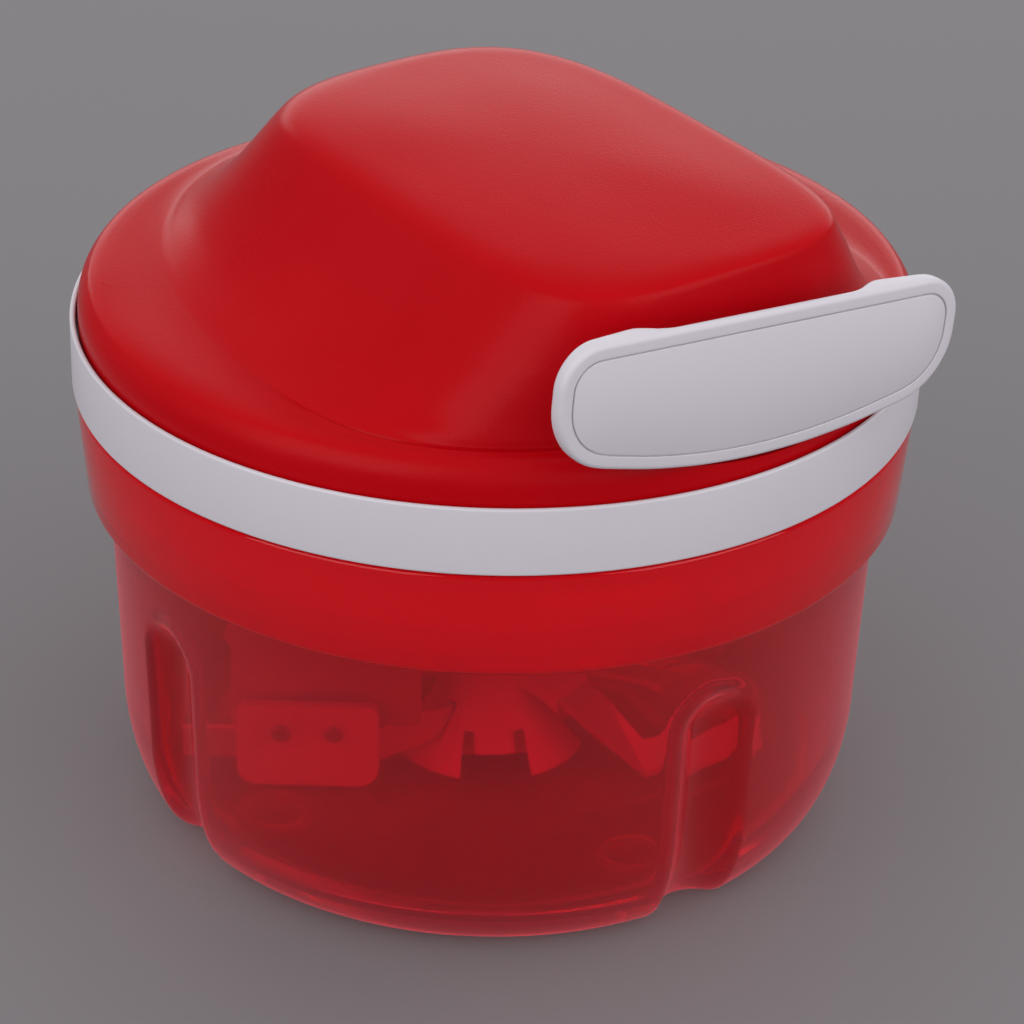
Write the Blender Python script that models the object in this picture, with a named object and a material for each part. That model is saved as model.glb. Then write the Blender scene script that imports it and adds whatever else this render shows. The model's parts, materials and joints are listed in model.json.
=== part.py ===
"""Pull cord food chopper: clear bowl, turning insert, bayonet cover with a cord reel, docked T handle.

Metres, +Z up. The origin is the middle of the bowl's foot; the handle pulls out towards -Y.
"""
import math

import bmesh
import bpy
from mathutils import Matrix, Vector
from mathutils.bvhtree import BVHTree

# Clearances shared by all fits
GAP = 0.0003
OVERRUN = 0.004
SINK = 0.0006

# The white ring's radius, from which the bowl's and the housing's radii are counted inwards
RING_RADIUS = 0.0600

# Bowl
BOWL_HEIGHT = 0.0651
COLLAR_HEIGHT = 0.0165
COLLAR_DRAFT = 0.0013
COLLAR_ROUND = 0.0010
STEP_WIDTH = 0.0031
WALL_DRAFT = 0.0011
CORNER_WIDTH = 0.0076
CORNER_HEIGHT = 0.0170
FOOT_WIDTH = 0.0038
FOOT_HEIGHT = 0.0016
BOWL_WALL = 0.0020
FLOOR_THICKNESS = 0.0024
LEDGE_RISE = 0.0030
FLUTE_COUNT = 4
FLUTE_DEPTH = 0.0031
FLUTE_RADIUS = 0.0073
FLUTE_DROP = 0.0093
FOOT_PAD_RADIUS = 0.0053
FOOT_PAD_WALL = 0.0013
PIVOT_BOSS_RADIUS = 0.0045
PIVOT_BOSS_HEIGHT = 0.0024
PIVOT_PIN_RADIUS = 0.0016
PIVOT_PIN_LENGTH = 0.0110
PIVOT_PIN_SEAT = 0.0034

# Bayonet between bowl and cover
LUG_COUNT = 4
LUG_LENGTH = 0.0100
LUG_HEIGHT = 0.0035
LUG_DEPTH = 0.0014
LUG_DROP = 0.0075
RAMP_HEIGHT = 0.0014
RAMP_DEPTH = 0.0014
RAMP_ANGLE = math.radians(18)
LOCK_ANGLE = math.radians(20)

# Cover base with the white ring
RING_HEIGHT = 0.0097
RING_LIP = 0.0008
RING_SHELF_HEIGHT = 0.0066
RING_ROUND = 0.0004
PLATE_THICKNESS = 0.0030
PLATE_RISE = 0.0012
SKIRT_WALL = 0.0020
HUB_BORE_RADIUS = 0.0090
HUB_WALL = 0.0025
HUB_DROP = 0.0056
HUB_RISE = 0.0014
SEAL_HEIGHT = 0.0022

# Top housing
HOUSING_WALL = 0.0020
RIM_INSET = 0.0012
RIM_BAND = 0.0051
SHOULDER_WIDTH = 0.0020
SHOULDER_RISE = 0.0055
SHOULDER_STEP = 0.0008
CREASE_RISE = 0.0006
CREASE_FRONT_INSET = 0.0014
CREASE_REAR_INSET = 0.0002
CREASE_HALF = 0.0466
BLOCK_HEIGHT = 0.0360
BLOCK_FRONT_INSET = 0.0048
BLOCK_REAR = 0.0295
BLOCK_HALF = 0.0254
CROWN_RISE = 0.0012
BLOCK_MIDDLE = 0.0090
HOUSING_STEPS = 48

# Cover screws
SCREW_INSET = 0.0118
SCREW_COUNT = 4
SCREW_RADIUS = 0.0014
SCREW_HEAD_RADIUS = 0.0029
SCREW_HEAD_HEIGHT = 0.0013
SCREW_LENGTH = 0.0095
BOSS_WALL = 0.0019

# Handle
HANDLE_HALF = 0.0322
HANDLE_DROP = 0.0034
HANDLE_CLEARANCE = 0.0024
HANDLE_BOW = 0.0055
HANDLE_TOP_ROUND_SHARE = 0.39
HANDLE_LOW_ROUND_SHARE = 0.64
HANDLE_INSET = 0.0008
HANDLE_THICKNESS = 0.0018
HANDLE_GRIP_THICKNESS = 0.0040
HANDLE_END_THICKNESS = 0.0026
HANDLE_STEP_IN = 0.0140
HANDLE_STEP_OUT = 0.0200
HANDLE_EDGE_ROUND = 0.0007
HANDLE_BACK_ROUND = 0.0014
HANDLE_BOSS_WALL = 0.0012
HANDLE_ROLL = math.radians(4.7)
FACE_INSET = 0.0019
FACE_THICKNESS = 0.0008
DOCK_GAP = 0.0004

# Cord and reel
CORD_RADIUS = 0.0009
CORD_DROP = 0.0150
CORD_TURNS = 2.5
CORD_PITCH = 0.0024
DRUM_RADIUS = 0.0150
DRUM_HEIGHT = 0.0086
FLANGE_WIDTH = 0.0038
FLANGE_THICKNESS = 0.0012
REEL_HUB_RADIUS = 0.0046
CUP_WALL = 0.0012
CUP_HEIGHT = 0.0051
SPRING_HEIGHT = 0.0040
SPRING_THICKNESS = 0.0007
SPRING_TURNS = 5.0
AXLE_RADIUS = 0.0020
AXLE_BOSS_WALL = 0.0030
ARBOR_WALL = 0.0015
CLIP_WIDTH = 0.0019
CLIP_THICKNESS = 0.0006
EYELET_BORE = 0.0015
EYELET_WALL = 0.0011
EYELET_FLANGE = 0.0014
EYELET_FLANGE_THICKNESS = 0.0008
KNOT_RADIUS = 0.0024
KNOT_LENGTH = 0.0016

# Drive and clutch
SOCKET_DEPTH = 0.0090
SOCKET_WALL = 0.0015
SOCKET_REACH = 0.0015
SOCKET_FLANGE = 0.0022
SOCKET_FLANGE_THICKNESS = 0.0015
DRIVE_SHAFT_RADIUS = 0.0050
SPIGOT_RADIUS = 0.0034
RATCHET_RADIUS = 0.0100
RATCHET_DEPTH = 0.0014
RATCHET_TEETH = 12
RATCHET_THICKNESS = 0.0025
PAWL_REACH = 0.0045
PAWL_PIN_RADIUS = 0.0011
PAWL_EYE_WALL = 0.0013
PAWL_THICKNESS = 0.0023
PAWL_TIP_ANGLE = math.radians(35)
PAWL_TIP_WIDTH = 0.0012
PAWL_EYE_START = math.radians(80)
PAWL_EYE_SWEEP = math.radians(200)
DOG_DEPTH = 0.0030
DOG_ANGLE = math.radians(62)

# Turning insert
INSERT_TURN = math.radians(-35)
SWEEP_CLEARANCE = 0.0040
COLUMN_RADIUS = 0.0060
BELL_TOP_RADIUS = 0.0074
BELL_FOOT_RADIUS = 0.0148
BELL_HEIGHT = 0.0178
BELL_CLEARANCE = 0.0006
BELL_FLARE_POWER = 2.4
THRUST_CLEARANCE = 0.0006
THRUST_RADIUS = 0.0056
CLAW_COUNT = 4
CLAW_TURN = math.radians(6)
CLAW_TAB_WIDTH = 0.0058
CLAW_TAB_LIFT = 0.0029
CLAW_SLIT_WIDTH = 0.0015
CLAW_SLIT_FLARE = 0.0010
CLAW_SLIT_HEIGHT = 0.0056
CLAW_INSET = 0.0008
WINDOW_TURN = math.radians(162)
WINDOW_ANGLE = math.radians(70)
WINDOW_DEPTH = 0.0004
WINDOW_HEIGHT = 0.0130
TANG_THICKNESS = 0.0040
TANG_CLEARANCE = 0.0007
TANG_HEIGHT = 0.0060
ARM_HEIGHT = 0.0048
ARM_THICKNESS = 0.0010
ARM_LIFT = 0.0044
ARM_OFFSET = 0.0150
ARM_ROOT_DEPTH = 0.0010
ARM_ROOT_TURN = math.radians(240)
ARM_LUG_RISE = 0.0034
ARM_LUG_INSET = 0.0012
ARM_LUG_SLOPE = 0.0012
PADDLE_LENGTH = 0.0205
PADDLE_END = 0.0064
PADDLE_HEIGHT = 0.0134
PADDLE_THICKNESS = 0.0018
PADDLE_LIFT = 0.0010
PADDLE_ROUND = 0.0030
SHEET_INWARD = 0.0060
SHEET_OVERHANG = 0.0010
SHEET_THICKNESS = 0.0008
SHEET_LIFT = 0.0058
SHEET_HEIGHT = 0.0222
SHEET_ROUND = 0.0020
RIVET_RADIUS = 0.0008
RIVET_HEAD_RADIUS = 0.0014
RIVET_HEAD_HEIGHT = 0.0004
RIVET_DROP = 0.0026
RIVET_PLACE_SHARES = (0.32, 0.69)
BLADE_WIDTH = 0.0078
BLADE_THICKNESS = 0.0010
BLADE_LIFT = 0.0016
BLADE_KNEE = (0.0233, -0.0100)
BLADE_SLOPE_RUN = 0.0205
BLADE_TIP_INSET = 0.0041
BLADE_BEND = math.radians(25)
BLADE_ROOT_LIFT = 0.0143
BLADE_FLAT_SHARE = 0.6
BLADE_SEAT_WALL = 0.0010
BLADE_SEAT_RUN = 0.0100
REAR_BLADE_WIDTH = 0.0085
REAR_BLADE_ROOT = 0.0032
REAR_BLADE_TURN = math.radians(95)
REAR_BLADE_RISE = 0.0076
REAR_BLADE_INSET = 0.0051
REAR_BLADE_BOW_SHARE = 0.8
REAR_BLADE_TAPER_SHARE = 0.25

# Shares of the way from the crease outline to the top outline: height, front, side, rear
BLOCK_PROFILE_SHARES = (
    (0.00, 0.00, 0.00, 0.00),
    (0.06, 0.10, 0.17, 0.17),
    (0.15, 0.18, 0.35, 0.33),
    (0.31, 0.24, 0.53, 0.50),
    (0.51, 0.32, 0.69, 0.66),
    (0.72, 0.45, 0.82, 0.80),
    (0.86, 0.62, 0.91, 0.89),
    (0.95, 0.80, 0.96, 0.955),
    (1.00, 1.00, 1.00, 1.00),
)
CROWN_SHARES = (0.88, 0.66, 0.36)
CREASE_POWERS = (3.5, 2.0)
BLOCK_POWERS = (4.2, 3.3)

# Shares of a groove's half angle and of its top round, where the bowl's skin has its levels
FLUTE_ANGLE_SHARES = (-1.0, -0.9, -0.68, -0.36, 0.0, 0.36, 0.68, 0.9, 1.0)
FLUTE_TOP_SHARES = (0.0, 0.4, 0.7, 0.88, 0.97)
FLUTE_SPREAD = math.radians(7.5)
WALL_STEPS = 10
BACK_ROUND_STEPS = 3

# The round from the housing's rim to its shoulder: shares of the way in and of the rim's band
RIM_ROUND_SHARES = ((0.16, 0.66), (0.50, 0.90))
RIM_WALL_SHARE = 0.35

# Radii and lengths that the sizes above give
COLLAR_RADIUS = RING_RADIUS - GAP
COLLAR_LOW_RADIUS = COLLAR_RADIUS - COLLAR_DRAFT
HIGH_WALL_RADIUS = COLLAR_LOW_RADIUS - STEP_WIDTH
LOW_WALL_RADIUS = HIGH_WALL_RADIUS - WALL_DRAFT
FOOT_RADIUS = LOW_WALL_RADIUS - CORNER_WIDTH
FOOT_PAD_CIRCLE_RADIUS = FOOT_RADIUS - FOOT_WIDTH - FOOT_PAD_RADIUS - GAP
RIM_RADIUS = RING_RADIUS - RIM_INSET
SHOULDER_RADIUS = RIM_RADIUS - SHOULDER_WIDTH
CREASE_FRONT = SHOULDER_RADIUS - CREASE_FRONT_INSET
CREASE_REAR = SHOULDER_RADIUS - CREASE_REAR_INSET
BLOCK_FRONT = SHOULDER_RADIUS - BLOCK_FRONT_INSET
SCREW_CIRCLE_RADIUS = SHOULDER_RADIUS - SCREW_INSET
HANDLE_FACE = RING_RADIUS - HANDLE_INSET
EYELET_INNER = BLOCK_FRONT - HOUSING_WALL - 2 * GAP
HANDLE_BOSS_DEPTH = FACE_THICKNESS + KNOT_LENGTH + 2 * GAP + HANDLE_BOSS_WALL
HANDLE_BOSS_RADIUS = KNOT_RADIUS + GAP + HANDLE_BOSS_WALL
FLANGE_RADIUS = DRUM_RADIUS + FLANGE_WIDTH
RATCHET_ROOT = RATCHET_RADIUS - RATCHET_DEPTH
PAWL_CIRCLE_RADIUS = RATCHET_RADIUS + PAWL_REACH
SWEEP_RADIUS = LOW_WALL_RADIUS - BOWL_WALL - FLUTE_DEPTH - SWEEP_CLEARANCE
ARM_REACH = math.sqrt(SWEEP_RADIUS ** 2 - ARM_OFFSET ** 2)
PADDLE_OUT = ARM_REACH - PADDLE_END
PADDLE_IN = PADDLE_OUT - PADDLE_LENGTH
SHEET_IN = PADDLE_IN - SHEET_INWARD
SHEET_OUT = PADDLE_OUT + SHEET_OVERHANG
BLADE_LEVEL_RUN = (SWEEP_RADIUS - BLADE_TIP_INSET - BLADE_KNEE[0]) / math.cos(BLADE_BEND)
REAR_BLADE_REACH = SWEEP_RADIUS - REAR_BLADE_INSET

# Heights that the sizes above give
FLOOR_Z = FOOT_HEIGHT + FLOOR_THICKNESS
STEP_Z = BOWL_HEIGHT - COLLAR_HEIGHT
LUG_Z = BOWL_HEIGHT - LUG_DROP
FLUTE_TOP_Z = STEP_Z - FLUTE_DROP
LEDGE_Z = STEP_Z + LEDGE_RISE
RING_Z = BOWL_HEIGHT + GAP
SHOULDER_HEIGHT = RING_HEIGHT + SHOULDER_RISE
CREASE_HEIGHT = SHOULDER_HEIGHT + CREASE_RISE
HANDLE_TOP = BLOCK_HEIGHT - HANDLE_DROP
HANDLE_BOTTOM = RING_HEIGHT + HANDLE_CLEARANCE
HANDLE_END_LOW = HANDLE_BOTTOM + HANDLE_BOW
HANDLE_TOP_ROUND = (HANDLE_TOP - HANDLE_END_LOW) * HANDLE_TOP_ROUND_SHARE
HANDLE_LOW_ROUND = (HANDLE_TOP - HANDLE_END_LOW) * HANDLE_LOW_ROUND_SHARE
CORD_Z = RING_Z + BLOCK_HEIGHT - CORD_DROP
SHELF_Z = RING_Z + RING_SHELF_HEIGHT
PLATE_TOP_Z = RING_Z + PLATE_RISE
PLATE_LOW_Z = PLATE_TOP_Z - PLATE_THICKNESS
HUB_LOW_Z = PLATE_LOW_Z - HUB_DROP
HUB_TOP_Z = PLATE_TOP_Z + HUB_RISE
COLLAR_BORE_RADIUS = COLLAR_RADIUS - BOWL_WALL
SKIRT_RADIUS = COLLAR_BORE_RADIUS - LUG_DEPTH - 2 * GAP
SKIRT_Z = LEDGE_Z + SEAL_HEIGHT + 2 * GAP
CROWN_Z = RING_Z + BLOCK_HEIGHT + CROWN_RISE
DRUM_LOW_Z = CORD_Z - DRUM_HEIGHT * 0.5
REEL_LOW_Z = DRUM_LOW_Z - FLANGE_THICKNESS
REEL_TOP_Z = DRUM_LOW_Z + DRUM_HEIGHT + FLANGE_THICKNESS
CUP_TOP_Z = REEL_TOP_Z + CUP_HEIGHT
AXLE_BORE_RADIUS = AXLE_RADIUS + GAP
AXLE_LOW_Z = REEL_LOW_Z - 2 * CLIP_THICKNESS - GAP
AXLE_TOP_Z = CROWN_Z - HOUSING_WALL - GAP
BOSS_LOW_Z = CUP_TOP_Z + 2 * FLANGE_THICKNESS
SOCKET_RADIUS = HUB_BORE_RADIUS - GAP
SOCKET_LOW_Z = HUB_LOW_Z - SOCKET_REACH
SOCKET_TOP_Z = HUB_TOP_Z + GAP + SOCKET_FLANGE_THICKNESS
SPIGOT_TOP_Z = AXLE_LOW_Z - 2 * GAP
RATCHET_TOP_Z = SPIGOT_TOP_Z
RATCHET_LOW_Z = RATCHET_TOP_Z - RATCHET_THICKNESS
PIVOT_BOSS_Z = FLOOR_Z + PIVOT_BOSS_HEIGHT
THRUST_Z = PIVOT_BOSS_Z + THRUST_CLEARANCE
BELL_LOW_Z = FLOOR_Z + BELL_CLEARANCE
BELL_TOP_Z = BELL_LOW_Z + BELL_HEIGHT
CLAW_INNER_RADIUS = BELL_TOP_RADIUS - CLAW_INSET
REAR_BLADE_Z = BELL_TOP_Z + REAR_BLADE_RISE
TANG_LENGTH = 2 * (SOCKET_RADIUS - SOCKET_WALL - TANG_CLEARANCE)
COLUMN_TOP_Z = SOCKET_LOW_Z - GAP
CORD_WIND_RADIUS = DRUM_RADIUS + CORD_RADIUS + GAP
CORD_BEND_RADIUS = EYELET_INNER - CORD_RADIUS


def clear_scene():
    for item in list(bpy.data.objects):
        bpy.data.objects.remove(item, do_unlink=True)


def plastic(name, colour, roughness, metallic=0.0):
    material = bpy.data.materials.new(name)
    material.use_nodes = True
    shader = material.node_tree.nodes["Principled BSDF"]
    shader.inputs["Base Color"].default_value = (*colour, 1.0)
    shader.inputs["Roughness"].default_value = roughness
    shader.inputs["Metallic"].default_value = metallic
    material.diffuse_color = (*colour, 1.0)
    return material


def finish_mesh(name, mesh_data, material, sharp=35.0):
    """Turn a bmesh into a named object with its normals out and its round faces smooth."""
    bmesh.ops.remove_doubles(mesh_data, verts=mesh_data.verts, dist=GAP * 0.02)
    bmesh.ops.recalc_face_normals(mesh_data, faces=mesh_data.faces)
    mesh = bpy.data.meshes.new(name)
    mesh_data.to_mesh(mesh)
    mesh_data.free()
    mesh.shade_smooth()
    mesh.set_sharp_from_angle(angle=math.radians(sharp))
    item = bpy.data.objects.new(name, mesh)
    bpy.context.collection.objects.link(item)
    if material:
        mesh.materials.append(material)
    return item


def cutter(item):
    item.hide_render = True
    item.display_type = "WIRE"
    return item


def combine(target, tool, operation):
    step = target.modifiers.new(operation.title(), "BOOLEAN")
    step.operation = operation
    step.solver = "EXACT"
    step.object = tool
    return step


def cut(target, tool):
    return combine(target, cutter(tool), "DIFFERENCE")


def join(target, tool):
    return combine(target, cutter(tool), "UNION")


def turned(name, profile, material=None, steps=64, sharp=35.0):
    """Turn a profile of (radius, height) points round the Z axis."""
    data = bmesh.new()
    verts = [data.verts.new((radius, 0.0, height)) for radius, height in profile]
    edges = [data.edges.new(pair) for pair in zip(verts, verts[1:])]
    if profile[0][0] > 0.0:
        edges.append(data.edges.new((verts[-1], verts[0])))
    bmesh.ops.spin(data, geom=verts + edges, cent=(0, 0, 0), axis=(0, 0, 1), dvec=(0, 0, 0),
                   angle=math.tau, steps=steps, use_merge=True)
    return finish_mesh(name, data, material, sharp)


def extruded(name, outline, vector, material=None, sharp=35.0):
    """Extrude a flat outline of 3-D points along a vector."""
    data = bmesh.new()
    face = data.faces.new([data.verts.new(point) for point in outline])
    moved = bmesh.ops.extrude_face_region(data, geom=[face])["geom"]
    bmesh.ops.translate(data, verts=[v for v in moved if isinstance(v, bmesh.types.BMVert)], vec=vector)
    return finish_mesh(name, data, material, sharp)


def cylinder(name, radius, low, high, centre=(0.0, 0.0), material=None, steps=20):
    item = turned(name, [(0.0, low), (radius, low), (radius, high), (0.0, high)], material, steps)
    item.data.transform(Matrix.Translation((centre[0], centre[1], 0.0)))
    return item


def merged(name, items, material=None):
    """Put several meshes into one object, which the caller then owns."""
    data = bmesh.new()
    for item in items:
        item.data.transform(item.matrix_basis)
        data.from_mesh(item.data)
        bpy.data.objects.remove(item, do_unlink=True)
    return finish_mesh(name, data, material)


def turned_copies(item, count, start=0.0):
    """Copies of a mesh spread evenly round the Z axis; the first one is the item itself."""
    items = []
    for index in range(count):
        mesh = item.data.copy()
        mesh.transform(Matrix.Rotation(start + index * math.tau / count, 4, "Z"))
        copy = bpy.data.objects.new(item.name, mesh)
        bpy.context.collection.objects.link(copy)
        items.append(copy)
    bpy.data.objects.remove(item, do_unlink=True)
    return items


def rounded(corners, rounds, steps=6):
    """Points of a flat outline with each corner replaced by an arc of its own radius."""
    points = []
    count = len(corners)
    for index, (corner, radius) in enumerate(zip(corners, rounds)):
        here = Vector(corner)
        back = (Vector(corners[index - 1]) - here).normalized()
        ahead = (Vector(corners[(index + 1) % count]) - here).normalized()
        half = back.angle(ahead) * 0.5
        if radius <= 0.0:
            points.append(here)
            continue
        reach = radius / math.tan(half)
        centre = here + (back + ahead).normalized() * (radius / math.sin(half))
        start = here + back * reach - centre
        end = here + ahead * reach - centre
        sweep = start.angle(end)
        for step in range(steps + 1):
            share = step / steps
            weight_start = math.sin((1 - share) * sweep) / math.sin(sweep)
            weight_end = math.sin(share * sweep) / math.sin(sweep)
            points.append(centre + start * weight_start + end * weight_end)
    return points


def tube_mesh(data, path, radii, sides):
    """Sweep a circle along a path, with a radius for each point and flat caps, into a bmesh."""
    rings = []
    previous = None
    for index, (point, radius) in enumerate(zip(path, radii)):
        ahead = path[min(index + 1, len(path) - 1)] - path[max(index - 1, 0)]
        ahead.normalize()
        if previous is None:
            side = ahead.orthogonal().normalized()
        else:
            side = (previous - ahead * previous.dot(ahead)).normalized()
        previous = side
        up = ahead.cross(side)
        ring = []
        for step in range(sides):
            turn = math.tau * step / sides
            offset = side * (math.cos(turn) * radius) + up * (math.sin(turn) * radius)
            ring.append(data.verts.new(point + offset))
        rings.append(ring)
    loft(data, rings)


def tube(name, path, radius, sides=12, material=None):
    data = bmesh.new()
    tube_mesh(data, path, [radius] * len(path), sides)
    return finish_mesh(name, data, material)


def wall_radius(height):
    """Outer radius of the bowl's wall at a height below the step."""
    if height < CORNER_HEIGHT:
        rise = max(0.0, 1 - height / CORNER_HEIGHT)
        return FOOT_RADIUS + (LOW_WALL_RADIUS - FOOT_RADIUS) * math.sqrt(1 - rise * rise)
    share = (height - CORNER_HEIGHT) / (STEP_Z - CORNER_HEIGHT)
    return LOW_WALL_RADIUS + (HIGH_WALL_RADIUS - LOW_WALL_RADIUS) * share


def corner_profile(inset, floor, steps=5):
    """The rounded foot corner and wall, from the floor up, moved in by a wall."""
    rise = CORNER_HEIGHT - floor
    foot = FOOT_RADIUS - inset * 0.5
    low = LOW_WALL_RADIUS - inset
    points = []
    for step in range(steps + 1):
        turn = math.pi * 0.5 * step / steps
        points.append((foot + (low - foot) * math.sin(turn), floor + rise * (1 - math.cos(turn))))
    return points


def groove(radius, height, grow):
    """The upright groove's centre, squared round and half angle at a level, or None if it isn't there."""
    centre = wall_radius(height) + FLUTE_RADIUS - FLUTE_DEPTH
    above = max(0.0, height - groove_centre_z())
    squared = (FLUTE_RADIUS + grow) ** 2 - above ** 2
    if squared <= 0.0 or centre - math.sqrt(squared) >= radius:
        return None
    share = (centre * centre + radius * radius - squared) / (2 * centre * radius)
    return centre, squared, math.acos(share)


def groove_reach(grow):
    """How far a groove's round top rises above the round's centre."""
    return math.sqrt((FLUTE_RADIUS + grow) ** 2 - (FLUTE_RADIUS - FLUTE_DEPTH + grow) ** 2)


def groove_centre_z():
    return FLUTE_TOP_Z - groove_reach(0.0)


def bowl_level(radius, height, grow=None):
    """One level of the bowl's skin; where a growth is given, the grooves press it inwards."""
    found = None if grow is None else groove(radius, height, grow)
    half = found[2] if found else FLUTE_SPREAD
    open_angle = math.tau / FLUTE_COUNT - 2 * half
    turns = [(half * share, abs(share) < 1) for share in FLUTE_ANGLE_SHARES]
    turns += [(half + open_angle * step / WALL_STEPS, False) for step in range(1, WALL_STEPS)]
    ring = []
    for index in range(FLUTE_COUNT):
        middle = math.tau * index / FLUTE_COUNT - math.pi * 0.5
        for turn, inside in turns:
            reach = radius
            if found and inside:
                across = found[0] * math.sin(turn)
                reach = found[0] * math.cos(turn) - math.sqrt(found[1] - across * across)
            ring.append((reach * math.cos(middle + turn), reach * math.sin(middle + turn), height))
    return ring


def groove_tops(grow):
    """Levels of the straight wall over a groove's round top, with a plain one above it."""
    middle = groove_centre_z()
    reach = groove_reach(grow)
    levels = [(middle + reach * share, grow) for share in FLUTE_TOP_SHARES]
    levels.append((middle + reach + SINK, None))
    return [bowl_level(wall_radius(height) - grow, height, level_grow) for height, level_grow in levels]


def baked(item):
    """Replace an object's mesh by its evaluated one, so that it can be copied."""
    bpy.context.view_layer.update()
    graph = bpy.context.evaluated_depsgraph_get()
    mesh = bpy.data.meshes.new_from_object(item.evaluated_get(graph))
    tools = [step.object for step in item.modifiers if step.type == "BOOLEAN"]
    item.modifiers.clear()
    item.data = mesh
    for tool in tools:
        bpy.data.objects.remove(tool, do_unlink=True)
    return item


def arc_block(name, inner, outer, low, high, middle, sweep, steps=8, material=None):
    """A block between two radii, two heights and two angles."""
    outline = []
    for step in range(steps + 1):
        turn = middle + sweep * (step / steps - 0.5)
        outline.append(Vector((outer * math.cos(turn), outer * math.sin(turn), low)))
    for step in range(steps + 1):
        turn = middle + sweep * (0.5 - step / steps)
        outline.append(Vector((inner * math.cos(turn), inner * math.sin(turn), low)))
    return extruded(name, outline, (0.0, 0.0, high - low), material)


def make_bowl(material):
    """The bowl's skin in levels, from the middle of its underside over the rim to the pin's seat."""
    foot_inner = FOOT_RADIUS - FOOT_WIDTH
    wall_top = HIGH_WALL_RADIUS - BOWL_WALL
    seat = PIVOT_PIN_RADIUS + GAP
    seat_low = PIVOT_BOSS_Z - PIVOT_PIN_SEAT
    levels = [bowl_level(foot_inner - FOOT_HEIGHT, FOOT_HEIGHT), bowl_level(foot_inner, 0.0)]
    levels += [bowl_level(radius, height, 0.0) for radius, height in corner_profile(0.0, 0.0)]
    levels += groove_tops(0.0)
    for radius, height in ((HIGH_WALL_RADIUS, STEP_Z),
                           (COLLAR_LOW_RADIUS - COLLAR_ROUND, STEP_Z + COLLAR_ROUND * 0.5),
                           (COLLAR_LOW_RADIUS, STEP_Z + COLLAR_ROUND * 1.6), (COLLAR_RADIUS, BOWL_HEIGHT),
                           (COLLAR_BORE_RADIUS, BOWL_HEIGHT), (COLLAR_BORE_RADIUS - GAP, LEDGE_Z),
                           (wall_top, LEDGE_Z)):
        levels.append(bowl_level(radius, height))
    levels += groove_tops(BOWL_WALL)[::-1]
    for radius, height in corner_profile(BOWL_WALL, FLOOR_Z)[::-1]:
        levels.append(bowl_level(radius, height, BOWL_WALL))
    for radius, height in ((PIVOT_BOSS_RADIUS, FLOOR_Z), (PIVOT_BOSS_RADIUS, PIVOT_BOSS_Z),
                           (seat, PIVOT_BOSS_Z), (seat, seat_low)):
        levels.append(bowl_level(radius, height))
    data = bmesh.new()
    first = skin(data, levels, (0.0, 0.0, seat_low))
    middle = data.verts.new((0.0, 0.0, FOOT_HEIGHT))
    for step in range(len(first)):
        data.faces.new((first[(step + 1) % len(first)], first[step], middle))
    bowl = finish_mesh("bowl", data, material, 40.0)
    ramp_outer = COLLAR_BORE_RADIUS + SINK
    ramp_inner = COLLAR_BORE_RADIUS - RAMP_DEPTH
    ramp_low = LUG_Z + LUG_HEIGHT * 0.5 + GAP
    ramp = arc_block("ramp", ramp_inner, ramp_outer, ramp_low, ramp_low + RAMP_HEIGHT,
                     -math.pi * 0.5 - LOCK_ANGLE, RAMP_ANGLE)
    join(bowl, merged("bayonet_ramps", turned_copies(ramp, LUG_COUNT)))
    inner = FOOT_PAD_RADIUS - FOOT_PAD_WALL
    pad_top = FOOT_HEIGHT + SINK
    pad = turned("foot_pad", [(inner, 0.0), (FOOT_PAD_RADIUS, 0.0), (FOOT_PAD_RADIUS, pad_top), (inner, pad_top)],
                 None, 16)
    pad.data.transform(Matrix.Translation((0.0, -FOOT_PAD_CIRCLE_RADIUS, 0.0)))
    join(bowl, merged("foot_pads", turned_copies(pad, FLUTE_COUNT)))
    return bowl


def make_pivot_pin(material):
    low = PIVOT_BOSS_Z - PIVOT_PIN_SEAT + GAP
    high = low + PIVOT_PIN_LENGTH
    nose = PIVOT_PIN_RADIUS * 0.5
    profile = [(0.0, low), (PIVOT_PIN_RADIUS, low), (PIVOT_PIN_RADIUS, high - nose), (nose, high), (0.0, high)]
    return turned("pivot_pin", profile, material, 16)


def make_seal(material):
    low = LEDGE_Z + GAP
    high = low + SEAL_HEIGHT
    outer = COLLAR_BORE_RADIUS - 3 * GAP
    inner = HIGH_WALL_RADIUS - BOWL_WALL + GAP
    bead = SEAL_HEIGHT * 0.2
    profile = [(inner, low + bead), (inner + bead, low), (outer - bead, low), (outer, low + bead),
               (outer, high - bead), (outer - bead, high), (inner + bead, high), (inner, high - bead)]
    return turned("seal_ring", profile, material, 40)


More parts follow.
